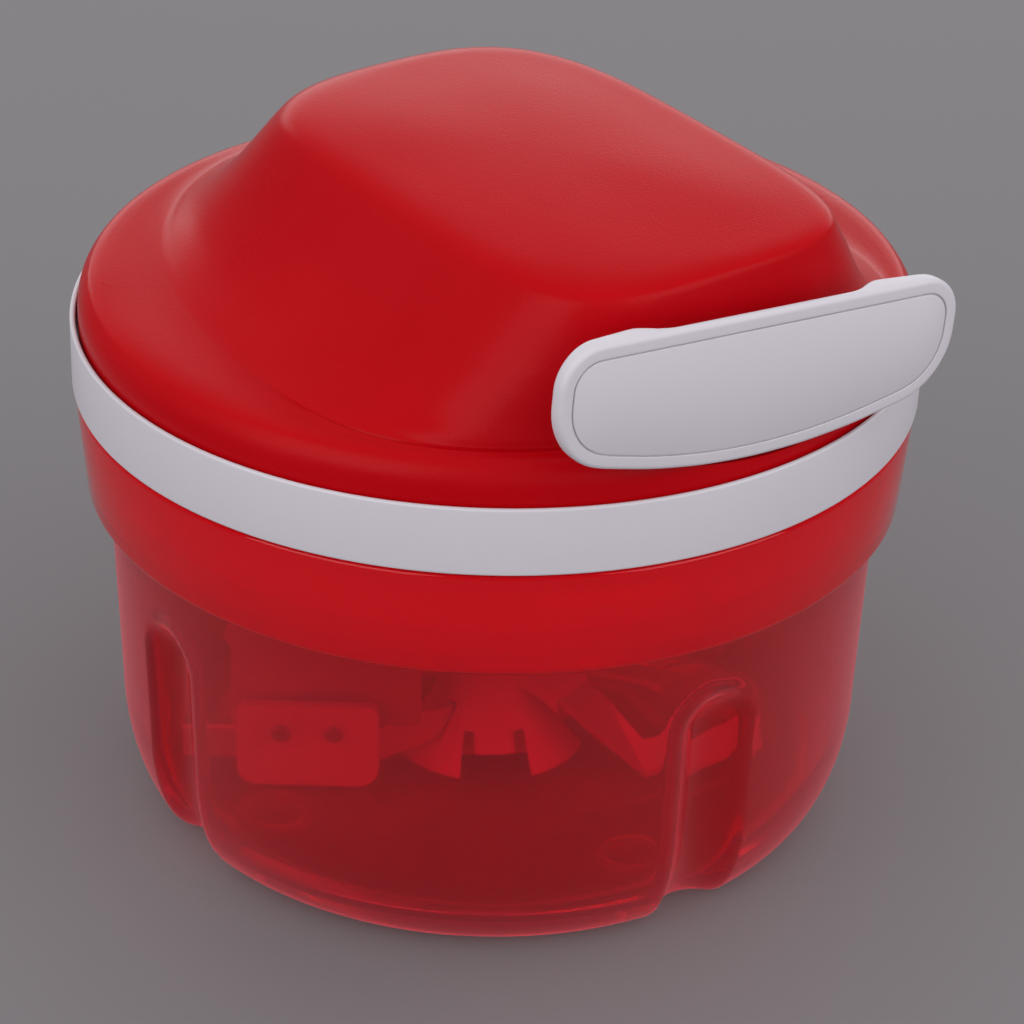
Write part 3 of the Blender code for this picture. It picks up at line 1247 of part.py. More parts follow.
def rivet_places():
    height = FLOOR_Z + ARM_LIFT + ARM_HEIGHT + ARM_LUG_RISE - RIVET_DROP
    return [(-between(PADDLE_IN, PADDLE_OUT, share), height) for share in RIVET_PLACE_SHARES]


def rivet_holes(name):
    tools = []
    for across, height in rivet_places():
        hole = cylinder("hole", RIVET_RADIUS + GAP, ARM_OFFSET - OVERRUN, ARM_OFFSET + OVERRUN, steps=12)
        hole.data.transform(Matrix.Translation((across, 0.0, height)) @ Matrix.Rotation(math.pi * 0.5, 4, "X"))
        tools.append(hole)
    return merged(name, tools)


def make_paddle(material):
    low, high = paddle_levels()
    back = -ARM_OFFSET - ARM_THICKNESS * 0.5 - GAP
    corners = [(-PADDLE_OUT, back, low), (-PADDLE_IN, back, low),
               (-PADDLE_IN, back, high), (-PADDLE_OUT, back, high)]
    rounds = [PADDLE_ROUND, PADDLE_ROUND, PADDLE_ROUND * 0.5, PADDLE_ROUND * 0.5]
    paddle = extruded("paddle_plate", rounded(corners, rounds, 5), (0.0, -PADDLE_THICKNESS, 0.0), material)
    cut(paddle, rivet_holes("paddle_holes"))
    return turn_insert(baked(paddle))


def make_sheet(material):
    """A tall thin sheet behind the arm, held by the paddle's rivets."""
    front = -ARM_OFFSET + ARM_THICKNESS * 0.5 + GAP
    low = FLOOR_Z + SHEET_LIFT
    high = low + SHEET_HEIGHT
    notch_in = -PADDLE_IN - ARM_LUG_INSET
    notch_top = FLOOR_Z + ARM_LIFT + ARM_HEIGHT + GAP
    corners = [(-SHEET_OUT, low), (notch_in, low), (notch_in, notch_top), (-SHEET_IN, notch_top),
               (-SHEET_IN, high), (-SHEET_OUT, high)]
    rounds = [SHEET_ROUND, 0.0, 0.0, SHEET_ROUND * 0.5, SHEET_ROUND, SHEET_ROUND]
    outline = rounded([(across, front, height) for across, height in corners], rounds, 4)
    sheet = extruded("paddle_sheet", outline, (0.0, SHEET_THICKNESS, 0.0), material)
    cut(sheet, rivet_holes("sheet_holes"))
    return turn_insert(baked(sheet))


def make_rivets(material):
    front = ARM_OFFSET + ARM_THICKNESS * 0.5 + GAP + PADDLE_THICKNESS + GAP
    back = ARM_OFFSET - ARM_THICKNESS * 0.5 - GAP - SHEET_THICKNESS - GAP
    for index, (across, height) in enumerate(rivet_places()):
        low = back - RIVET_HEAD_HEIGHT
        high = front + RIVET_HEAD_HEIGHT
        crown = RIVET_HEAD_RADIUS * 0.8
        profile = [(0.0, low), (crown, low), (RIVET_HEAD_RADIUS, back), (RIVET_RADIUS, back),
                   (RIVET_RADIUS, front), (RIVET_HEAD_RADIUS, front), (crown, high), (0.0, high)]
        rivet = turned(f"paddle_rivet_{index + 1}", profile, material, 10)
        rivet.data.transform(Matrix.Translation((across, 0.0, height)) @ Matrix.Rotation(math.pi * 0.5, 4, "X"))
        turn_insert(rivet)


def make_insert(white, steel):
    make_column(white)
    arm = make_arm("paddle_arm", 0.0, steel)
    cut(arm, rivet_holes("arm_holes"))
    turn_insert(baked(arm))
    make_paddle(white)
    make_sheet(steel)
    make_rivets(steel)
    turn_insert(bent_blade("bent_blade", 0.0, steel))
    turn_insert(rear_blade("rear_blade", 0.0, steel))


def main():
    clear_scene()
    clear_red = plastic("clear_red", (0.62, 0.02, 0.03), 0.08)
    red = plastic("red_cover", (0.55, 0.005, 0.01), 0.38)
    white = plastic("white", (0.80, 0.78, 0.80), 0.42)
    grey = plastic("grey_moulding", (0.45, 0.45, 0.47), 0.5)
    soft = plastic("seal_silicone", (0.72, 0.05, 0.06), 0.6)
    steel = plastic("steel", (0.62, 0.62, 0.64), 0.25, 1.0)
    cord = plastic("cord", (0.86, 0.85, 0.82), 0.8)
    make_bowl(clear_red)
    make_pivot_pin(steel)
    make_seal(soft)
    make_cover_base(white)
    make_top_housing(red)
    make_screws(steel)
    make_handle_shell(white)
    make_handle_face(white)
    make_cord_knot(steel)
    make_eyelet(steel)
    make_cord(cord)
    make_reel(grey)
    make_pawl("pawl_right", white, 0.0)
    make_pawl("pawl_left", white, math.pi)
    make_ratchet(white)
    make_drive_socket(white)
    make_axle(steel)
    make_clip(steel)
    make_arbor(grey)
    make_spring_cover(grey)
    make_power_spring(steel)
    make_insert(white, steel)


main()
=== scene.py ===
"""Looks of the pull cord food chopper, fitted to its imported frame.

Metres, +Z up. The bowl's foot stands on the floor and the handle pulls out towards -Y.
"""
import json
import math

import bmesh
import bpy
from mathutils import Matrix, Vector


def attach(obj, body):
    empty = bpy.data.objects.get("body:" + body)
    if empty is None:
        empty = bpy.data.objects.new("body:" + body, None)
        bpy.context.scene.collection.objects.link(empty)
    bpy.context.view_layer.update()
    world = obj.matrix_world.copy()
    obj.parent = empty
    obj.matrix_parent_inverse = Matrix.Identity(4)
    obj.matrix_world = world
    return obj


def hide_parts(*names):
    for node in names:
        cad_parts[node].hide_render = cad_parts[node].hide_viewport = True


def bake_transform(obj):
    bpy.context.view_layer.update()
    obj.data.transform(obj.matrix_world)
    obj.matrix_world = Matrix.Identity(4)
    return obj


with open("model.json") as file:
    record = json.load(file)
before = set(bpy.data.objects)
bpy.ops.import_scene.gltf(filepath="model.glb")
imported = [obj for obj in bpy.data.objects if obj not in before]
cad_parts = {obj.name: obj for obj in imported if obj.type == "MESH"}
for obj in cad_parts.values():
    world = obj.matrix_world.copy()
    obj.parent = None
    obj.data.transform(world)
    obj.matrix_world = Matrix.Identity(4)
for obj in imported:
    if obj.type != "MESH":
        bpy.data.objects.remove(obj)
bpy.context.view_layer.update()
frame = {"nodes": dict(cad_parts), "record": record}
NODES = frame["nodes"]

GAP = 0.0003
OVERRUN = 0.0040
QUARTER = math.pi * 0.5
MERGE_DISTANCE = 2e-6
NODE_MERGE_DISTANCE = 1e-6
NO_LENGTH = 1e-9

# Bowl
BOWL_STEPS = 320
FOOT_RADIUS = 0.0466
FOOT_WIDTH = 0.0038
FOOT_HEIGHT = 0.0016
FOOT_CHAMFER = 0.0008
CORNER_HEIGHT = 0.0170
LOW_WALL_RADIUS = 0.0542
HIGH_WALL_RADIUS = 0.0553
STEP_Z = 0.0486
STEP_RISE = 0.0008
STEP_EDGE = 0.0002
COLLAR_LOW_RADIUS = 0.0584
COLLAR_RADIUS = 0.0597
BOWL_HEIGHT = 0.0651
BOWL_WALL = 0.0020
FLOOR_Z = 0.0040
LEDGE_Z = 0.0516
WALL_EASE = 0.0010
FLUTE_DEPTH = 0.0031
FLUTE_RADIUS = 0.0073
FLUTE_TOP_Z = 0.0393
FLUTED_LOW_Z = 0.0400
FLUTED_HIGH_Z = 0.0435
FLUTED_FROM_RADIUS = 0.0300
FLUTE_EASE_INSIDE = 0.0011
FLUTE_EASE_OUTSIDE = 0.0007
FLUTE_EASE_FOOT = 0.0004
FOOT_PAD_CIRCLE_RADIUS = 0.0372
FOOT_PAD_RADIUS = 0.0053
FOOT_PAD_WALL = 0.0013
FOOT_PAD_SINK = 0.0002
FOOT_PAD_SEAM = 0.0006
SMALL_EASE = 0.0003
PIVOT_BOSS_RADIUS = 0.0045
PIVOT_BOSS_Z = 0.0064
PIVOT_BOSS_EASE = 0.0004
PIN_SEAT_RADIUS = 0.0019
PIN_SEAT_Z = 0.0030
RAMP_DEPTH = 0.0014
RAMP_LOW_Z = 0.05965
RAMP_HEIGHT = 0.0014
RAMP_SINK = 0.0004
RAMP_MIDDLE = math.radians(-110)
RAMP_SWEEP = math.radians(18)

# Cover base: the white ring, its plate, skirt and hub
COVER_STEPS = 288
SEAM_RISE = 0.0010
RING_RADIUS = 0.0600
RING_Z = 0.0654
RIM_Z = 0.0751
RING_ROUND = 0.0004
RING_LIP = 0.0008
SHELF_Z = 0.0720
SEAT_RADIUS = 0.0562
PLATE_LOW_Z = 0.0636
PLATE_TOP_Z = 0.0666
SKIRT_RADIUS = 0.0557
SKIRT_WALL = 0.0020
SKIRT_Z = 0.0544
HUB_BORE_RADIUS = 0.0090
HUB_RADIUS = 0.0115
HUB_LOW_Z = 0.0580
HUB_TOP_Z = 0.0680
LUG_LENGTH = 0.0100
LUG_HEIGHT = 0.0035
LUG_DEPTH = 0.0014
LUG_Z = 0.0576
LUG_SINK = 0.0006
LUG_ROUND_SHARE = 0.96
SCREW_CIRCLE_RADIUS = 0.0450
SCREW_RADIUS = 0.0014
SCREW_HEAD_RADIUS = 0.0029
SCREW_HEAD_HEIGHT = 0.0013

# Housing
HOUSING_LOW_Z = 0.0723
HOUSING_WALL = 0.0020
RIM_RADIUS = 0.0588
RIM_BAND = 0.0051
SHOULDER_RADIUS = 0.0568
SHOULDER_Z = 0.0806
SHOULDER_STEP = 0.0008
CREASE_FRONT = 0.0554
CREASE_REAR = 0.0566
CREASE_HALF = 0.0466
CREASE_Z = 0.0812
CREASE_DEPTH = 0.00022
CREASE_WIDTH = 0.00055
CREASE_FADES_IN = (192, 214)
CREASE_FADES_OUT = (292, 272)
SOFT_SIDE = (0.0040, -0.0200)
SOFT_ROUNDS = 36
SOFT_LEVELS_BELOW = 4
SOFT_LEVELS_ABOVE = 2
BLOCK_FRONT = 0.0520
BLOCK_REAR = 0.0295
BLOCK_HALF = 0.0254
BLOCK_Z = 0.1014
BLOCK_MIDDLE = 0.0090
CROWN_Z = 0.1026
CREASE_POWERS = (3.5, 2.0)
BLOCK_POWERS = (4.2, 3.3)
HOUSING_STEPS = 216
LIMIT_POWER = 16
BETWEEN_LEVELS = 5
RIM_LEVELS = ((0.0, 0.35), (0.16, 0.66), (0.50, 0.90))
BLOCK_LEVELS = (
    (0.00, 0.00, 0.00, 0.00),
    (0.06, 0.10, 0.17, 0.17),
    (0.15, 0.18, 0.35, 0.33),
    (0.31, 0.24, 0.53, 0.50),
    (0.51, 0.32, 0.69, 0.66),
    (0.72, 0.45, 0.82, 0.80),
    (0.86, 0.62, 0.91, 0.89),
    (0.95, 0.80, 0.96, 0.955),
    (1.00, 1.00, 1.00, 1.00),
)
CROWN_LEVELS = (0.88, 0.66, 0.36, 0.12, 0.00001)

# Handle
HANDLE_FACE = 0.0592
HANDLE_HALF = 0.0322
HANDLE_TOP_Z = 0.0980
HANDLE_END_Z = 0.0830
HANDLE_BOW = 0.0055
HANDLE_TOP_ROUND = 0.00585
HANDLE_LOW_ROUND = 0.0096
HANDLE_THICKNESS = 0.0018
HANDLE_GRIP_THICKNESS = 0.0040
HANDLE_END_THICKNESS = 0.0026
HANDLE_STEP_IN = 0.0140
HANDLE_STEP_OUT = 0.0200
HANDLE_EDGE_ROUND = 0.0007
HANDLE_BACK_ROUND = 0.0014
HANDLE_BOSS_RADIUS = 0.0039
HANDLE_BOSS_DEPTH = 0.0042
HANDLE_BOSS_TOP = 0.0013
HANDLE_BOW_ROUND = 0.0800
HANDLE_BOW_END_ROUND = 0.0200
HANDLE_ROLL = math.radians(4.7)
HANDLE_COLUMNS = 120
FACE_INSET = 0.0019
FACE_THICKNESS = 0.0008
FACE_GAP = 0.00022
FACE_SINK = 0.00006
FACE_ROUND = 0.00010
RECESS_CHAMFER = 0.00008
LEDGE_WIDTH = 0.0007
LEDGE_DEPTH = 0.00034
DOCK_GAP = 0.0004

# Cord
CORD_RADIUS = 0.0009
CORD_Z = 0.0864
CORD_TURNS = 2.5
CORD_PITCH = 0.0024
CORD_WIND_RADIUS = 0.0162
CORD_WIND_TOP_Z = 0.0895
CORD_BEND_RADIUS = 0.0485
CORD_END = 0.0559
CORD_STROKE = 0.2484
CORD_SIDES = 16
CORD_TURN_STEPS = 48
CORD_BEND_LENGTH = 0.0040
CORD_PULL_FROM = 0.0500
EYELET_HOLE_RADIUS = 0.0029
EYELET_BORE = 0.0015
EYELET_INNER = 0.0494
KNOT_RADIUS = 0.0024
KNOT_LENGTH = 0.0016


def between(low, high, share):
    return low + (high - low) * share


def ramp(start, end, value):
    """0 at start and 1 at end, with level ends."""
    share = min(1.0, max(0.0, (value - start) / (end - start)))
    return share * share * (3 - 2 * share)


def polar(radius, turn, height):
    return Vector((radius * math.cos(turn), radius * math.sin(turn), height))


def bent(start, corner, end, share):
    """A point on the curve that leaves start towards a corner and comes from there to its end."""
    return start * (1 - share) ** 2 + corner * 2 * share * (1 - share) + end * share ** 2


def turned(data, turn):
    """Turn a bmesh round the Z axis."""
    bmesh.ops.rotate(data, verts=data.verts, cent=(0, 0, 0), matrix=Matrix.Rotation(turn, 3, "Z"))


def shaded(mesh, sharp):
    """Smooth faces that meet at less than an angle in degrees."""
    mesh.shade_smooth()
    mesh.set_sharp_from_angle(angle=math.radians(sharp))


def named(name, data, body, stands_for=(), sharp=35.0):
    """Turn a bmesh into a piece that rides on a body and stands for CAD nodes."""
    bmesh.ops.remove_doubles(data, verts=data.verts, dist=MERGE_DISTANCE)
    bmesh.ops.recalc_face_normals(data, faces=data.faces)
    mesh = bpy.data.meshes.new(name)
    data.to_mesh(mesh)
    data.free()
    shaded(mesh, sharp)
    piece = bpy.data.objects.new(name, mesh)
    bpy.context.scene.collection.objects.link(piece)
    if body:
        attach(piece, body)
    if stands_for:
        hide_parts(*stands_for)
    return piece


def spun(profile, steps, closed=False):
    """A bmesh of a (radius, height) profile spun round the Z axis."""
    data = bmesh.new()
    verts = [data.verts.new((radius, 0.0, height)) for radius, height in profile]
    edges = [data.edges.new(pair) for pair in zip(verts, verts[1:])]
    if closed:
        edges.append(data.edges.new((verts[-1], verts[0])))
    bmesh.ops.spin(data, geom=verts + edges, cent=(0, 0, 0), axis=(0, 0, 1), dvec=(0, 0, 0),
                   angle=math.tau, steps=steps, use_merge=True)
    bmesh.ops.remove_doubles(data, verts=data.verts, dist=MERGE_DISTANCE)
    return data


def skinned(rows, lengths=None):
    """A grid wrapped over closed rows of points; lengths gives each row's place along a UV map."""
    data = bmesh.new()
    across, along = len(rows[0]), len(rows) - 1
    bmesh.ops.create_grid(data, x_segments=across, y_segments=along, size=1.0)
    places = {vert: (round((vert.co.x + 1) * 0.5 * across), round((vert.co.y + 1) * 0.5 * along))
              for vert in data.verts}
    if lengths:
        layer = data.loops.layers.uv.new("along_cord")
        for face in data.faces:
            for corner in face.loops:
                column, row = places[corner.vert]
                corner[layer].uv = (column / across, lengths[row])
    for vert, (column, row) in places.items():
        vert.co = rows[row][column % across]
    bmesh.ops.remove_doubles(data, verts=data.verts, dist=MERGE_DISTANCE)
    return data


def add_mesh(data, other):
    """Add one bmesh to another."""
    mesh = bpy.data.meshes.new("part")
    other.to_mesh(mesh)
    other.free()
    data.from_mesh(mesh)
    bpy.data.meshes.remove(mesh)


def cut(piece, tools, operation="DIFFERENCE"):
    """Cut or join a piece with plain tool bodies, which are then deleted."""
    for tool in tools:
        step = piece.modifiers.new("cut", "BOOLEAN")
        step.object, step.operation, step.solver = tool, operation, "EXACT"
        graph = bpy.context.evaluated_depsgraph_get()
        shaped = bpy.data.meshes.new_from_object(piece.evaluated_get(graph))
        piece.modifiers.clear()
        old, piece.data = piece.data, shaped
        shaped.name = piece.name
        bpy.data.meshes.remove(old)
        bpy.data.meshes.remove(tool.data)
    return piece


def softened(points, radius, steps=3):
    """A profile with each inner corner eased by a small curve."""
    result = [points[0]]
    for before, here, after in zip(points, points[1:], points[2:]):
        corner = Vector(here)
        back = Vector(before) - corner
        ahead = Vector(after) - corner
        reach = min(radius, back.length * 0.45, ahead.length * 0.45)
        start = corner + back.normalized() * reach
        end = corner + ahead.normalized() * reach
        for step in range(steps + 1):
            result.append(tuple(bent(start, corner, end, step / steps)))
    result.append(points[-1])
    return result


def wall_radius(height):
    """Outer radius of the bowl's wall at a height below the step."""
    if height < CORNER_HEIGHT:
        rise = min(1.0, 1 - height / CORNER_HEIGHT)
        return between(FOOT_RADIUS, LOW_WALL_RADIUS, math.sqrt(max(0.0, 1 - rise * rise)))
    share = (height - CORNER_HEIGHT) / (STEP_Z - CORNER_HEIGHT)
    return between(LOW_WALL_RADIUS, HIGH_WALL_RADIUS, share)


def soft_least(a, b, width):
    """The lesser of two radii, with their meeting eased over a width."""
    mix = max(0.0, min(1.0, 0.5 + (b - a) / (2 * width)))
    return b + (a - b) * mix - width * mix * (1 - mix)


def fluted_radius(radius, height, turn, grow, ease):
    """Radius of the wall at a height and angle, where the upright grooves press it in."""
    across = (turn + QUARTER * 0.5) % QUARTER - QUARTER * 0.5
    centre_z = FLUTE_TOP_Z - math.sqrt(FLUTE_RADIUS ** 2 - (FLUTE_RADIUS - FLUTE_DEPTH) ** 2)
    centre = wall_radius(max(height, 0.0)) + FLUTE_RADIUS - FLUTE_DEPTH
    above = max(0.0, height - centre_z)
    squared = (FLUTE_RADIUS + grow) ** 2 - above ** 2 - (centre * math.sin(across)) ** 2
    if squared <= 0.0:
        return radius
    return soft_least(radius, centre * math.cos(across) - math.sqrt(squared), ease)


def bowl_profile():
    """The bowl's section, from the middle of its underside over the rim to the pin's seat.

    Where the grooves are pressed in it has many levels, inside and out.
    """
    foot_inner = FOOT_RADIUS - FOOT_WIDTH
    steps, wall_steps = 16, 26
    line = [(0.0, FOOT_HEIGHT), (foot_inner * 0.5, FOOT_HEIGHT), (foot_inner - FOOT_HEIGHT, FOOT_HEIGHT),
            (foot_inner, 0.0), (FOOT_RADIUS - FOOT_CHAMFER, 0.0)]
    for step in range(1, steps + 1):
        turn = QUARTER * step / steps
        line.append((between(FOOT_RADIUS, LOW_WALL_RADIUS, math.sin(turn)), CORNER_HEIGHT * (1 - math.cos(turn))))
    for step in range(1, wall_steps + 1):
        height = between(CORNER_HEIGHT, FLUTED_LOW_Z, step / wall_steps)
        line.append((wall_radius(height), height))
    line += softened([(wall_radius(FLUTED_HIGH_Z), FLUTED_HIGH_Z), (HIGH_WALL_RADIUS, STEP_Z),
                      (COLLAR_LOW_RADIUS, STEP_Z + STEP_RISE), (COLLAR_RADIUS, BOWL_HEIGHT),
                      (COLLAR_RADIUS - BOWL_WALL, BOWL_HEIGHT), (COLLAR_RADIUS - BOWL_WALL - GAP, LEDGE_Z),
                      (HIGH_WALL_RADIUS - BOWL_WALL, LEDGE_Z),
                      (wall_radius(FLUTED_HIGH_Z) - BOWL_WALL, FLUTED_HIGH_Z)], WALL_EASE, 4)
    for step in range(wall_steps, 0, -1):
        height = between(CORNER_HEIGHT, FLUTED_HIGH_Z - WALL_EASE, step / wall_steps)
        line.append((wall_radius(height) - BOWL_WALL, height))
    low = LOW_WALL_RADIUS - BOWL_WALL
    foot = FOOT_RADIUS - BOWL_WALL * 0.5
    for step in range(steps, -1, -1):
        turn = QUARTER * step / steps
        line.append((between(foot, low, math.sin(turn)), between(FLOOR_Z, CORNER_HEIGHT, 1 - math.cos(turn))))
    line += softened([(foot * 0.6, FLOOR_Z), (PIVOT_BOSS_RADIUS + PIVOT_BOSS_EASE, FLOOR_Z),
                      (PIVOT_BOSS_RADIUS, PIVOT_BOSS_Z), (PIN_SEAT_RADIUS, PIVOT_BOSS_Z),
                      (PIN_SEAT_RADIUS, PIN_SEAT_Z)], PIVOT_BOSS_EASE, 2)
    line.append((0.0, PIN_SEAT_Z))
    return line


def press_flutes(data):
    """Press the four upright grooves into the spun bowl, outside and in."""
    for vert in data.verts:
        radius = math.hypot(vert.co.x, vert.co.y)
        height = vert.co.z
        if radius < FLUTED_FROM_RADIUS or height > STEP_Z:
            continue
        # Columns of vertices are drawn together at the grooves, where the skin bends most.
        turn = math.atan2(vert.co.y, vert.co.x)
        middle = round(turn / QUARTER) * QUARTER
        across = turn - middle
        turn = middle + math.copysign(QUARTER * 0.5 * (abs(across) / (QUARTER * 0.5)) ** 1.5, across)
        inner = height > FLOOR_Z - GAP and radius < wall_radius(height) - BOWL_WALL * 0.5
        if inner:
            radius = fluted_radius(radius, height, turn, BOWL_WALL, FLUTE_EASE_INSIDE)
        elif height < FOOT_HEIGHT * 0.5 and radius < FOOT_RADIUS - FOOT_CHAMFER - GAP:
            radius = min(radius, fluted_radius(radius, height, turn, 0.0, FLUTE_EASE_FOOT))
        else:
            radius = fluted_radius(radius, height, turn, 0.0, FLUTE_EASE_OUTSIDE)
        vert.co = polar(radius, turn, height)


def add_foot_pads(data):
    """Four round pads moulded under the floor, one at each groove."""
    inner = FOOT_PAD_RADIUS - FOOT_PAD_WALL
    top = FOOT_HEIGHT + FOOT_PAD_SINK
    seam = (inner + FOOT_PAD_SEAM, top)
    line = softened([seam, (inner, top), (inner, 0.0), (FOOT_PAD_RADIUS, 0.0), (FOOT_PAD_RADIUS, top), seam],
                    SMALL_EASE, 2)
    for index in range(4):
        pad = spun(line, 40)
        bmesh.ops.translate(pad, verts=pad.verts, vec=(FOOT_PAD_CIRCLE_RADIUS, 0.0, 0.0))
        turned(pad, QUARTER * index)
        add_mesh(data, pad)


def add_ramps(data):
    """Four bayonet ramps inside the collar."""
    outer = COLLAR_RADIUS - BOWL_WALL + RAMP_SINK
    inner = COLLAR_RADIUS - BOWL_WALL - RAMP_DEPTH
    high = RAMP_LOW_Z + RAMP_HEIGHT
    seam = (outer, RAMP_LOW_Z + RAMP_HEIGHT * 0.5)
    section = softened([seam, (outer, RAMP_LOW_Z), (inner, RAMP_LOW_Z), (inner, high), (outer, high), seam],
                       SMALL_EASE, 2)[:-1]
    for index in range(4):
        wedge = bmesh.new()
        verts = [wedge.verts.new((radius, 0.0, height)) for radius, height in section]
        face = wedge.faces.new(verts)
        turned(wedge, RAMP_MIDDLE - RAMP_SWEEP * 0.5 + QUARTER * index)
        bmesh.ops.spin(wedge, geom=[face] + list(face.edges) + verts, cent=(0, 0, 0), axis=(0, 0, 1),
                       dvec=(0, 0, 0), angle=RAMP_SWEEP, steps=16)
        add_mesh(data, wedge)


def make_bowl():
    data = spun(bowl_profile(), BOWL_STEPS)
    press_flutes(data)
    add_foot_pads(data)
    add_ramps(data)
    return named("clear_bowl", data, "bowl", ("bowl",), 50.0)


def outline_ring(front, rear, half, powers, limit, height):
    """One level of the housing: a long rounded block outline held inside a circle."""
    ring = []
    for step in range(HOUSING_STEPS):
        turn = math.tau * (step + 0.5) / HOUSING_STEPS
        along, across = math.cos(turn), math.sin(turn)
        reach = front - BLOCK_MIDDLE if along > 0 else rear + BLOCK_MIDDLE
        power = powers[0] if along > 0 else powers[1]
        block = ((abs(along) / reach) ** power + (abs(across) / half) ** power) ** (-1 / power)
        offset = BLOCK_MIDDLE * along
        circle = -offset + math.sqrt(offset * offset + limit * limit - BLOCK_MIDDLE * BLOCK_MIDDLE)
        # Far outside the circle the block has no say, and its power would be too small to add.
        radius = circle
        if block < 10 * limit:
            radius = (block ** -LIMIT_POWER + circle ** -LIMIT_POWER) ** (-1 / LIMIT_POWER)
        ring.append(Vector((across * radius, -(BLOCK_MIDDLE + along * radius), height)))
    return ring


def circle_ring(radius, height):
    """One round level of the housing, with the same columns as the others."""
    wide = 1000 * radius
    return outline_ring(wide, wide, wide, (2.0, 2.0), radius, height)


def housing_levels(inset):
    """Levels of the housing's skin, moved in and down by a wall, from its low edge to its crown."""
    levels = [circle_ring(RIM_RADIUS - inset, HOUSING_LOW_Z)]
    for inward, upward in RIM_LEVELS:
        radius = between(RIM_RADIUS, SHOULDER_RADIUS, inward) - inset
        levels.append(circle_ring(radius, RIM_Z + RIM_BAND * upward - inset))
    levels.append(circle_ring(SHOULDER_RADIUS - inset, SHOULDER_Z - inset))
    for height, front, side, rear in BLOCK_LEVELS:
        powers = [between(low, high, side) for low, high in zip(CREASE_POWERS, BLOCK_POWERS)]
        levels.append(outline_ring(between(CREASE_FRONT, BLOCK_FRONT, front) - inset,
                                   between(CREASE_REAR, BLOCK_REAR, rear) - inset,
                                   between(CREASE_HALF, BLOCK_HALF, side) - inset, powers,
                                   SHOULDER_RADIUS - SHOULDER_STEP - inset,
                                   between(CREASE_Z, BLOCK_Z, height) - inset))
    for share in CROWN_LEVELS:
        levels.append(outline_ring(between(BLOCK_MIDDLE, BLOCK_FRONT - inset, share),
                                   between(-BLOCK_MIDDLE, BLOCK_REAR - inset, share),
                                   (BLOCK_HALF - inset) * share, BLOCK_POWERS, SHOULDER_RADIUS,
                                   between(BLOCK_Z, CROWN_Z, 1 - share * share) - inset))
    return levels


def eased(levels, pieces):
    """More levels between the given ones, each column of points on one smooth curve."""
    result = [levels[0]]
    last = len(levels) - 1
    for index in range(last):
        before, start = levels[max(index - 1, 0)], levels[index]
        end, after = levels[index + 1], levels[min(index + 2, last)]
        for step in range(1, pieces + 1):
            share = step / pieces
            result.append([smooth_point(*points, share) for points in zip(before, start, end, after)])
    return result


def smooth_point(before, start, end, after, share):
    """A point between start and end on a curve through four points, its bends set by their spacing."""
    gaps = [max((b - a).length, NO_LENGTH) ** 0.5 for a, b in ((before, start), (start, end), (end, after))]
    if (before - start).length < NO_LENGTH:
        gaps[0] = gaps[1]
        before = start * 2 - end
    if (after - end).length < NO_LENGTH:
        gaps[2] = gaps[1]
        after = end * 2 - start
    lead = (start - before) / gaps[0] - (end - before) / (gaps[0] + gaps[1]) + (end - start) / gaps[1]
    tail = (end - start) / gaps[1] - (after - start) / (gaps[1] + gaps[2]) + (after - end) / gaps[2]
    lead, tail = lead * gaps[1], tail * gaps[1]
    cube, square = share ** 3, share ** 2
    return (start * (2 * cube - 3 * square + 1) + lead * (cube - 2 * square + share)
            + end * (3 * square - 2 * cube) + tail * (cube - square))


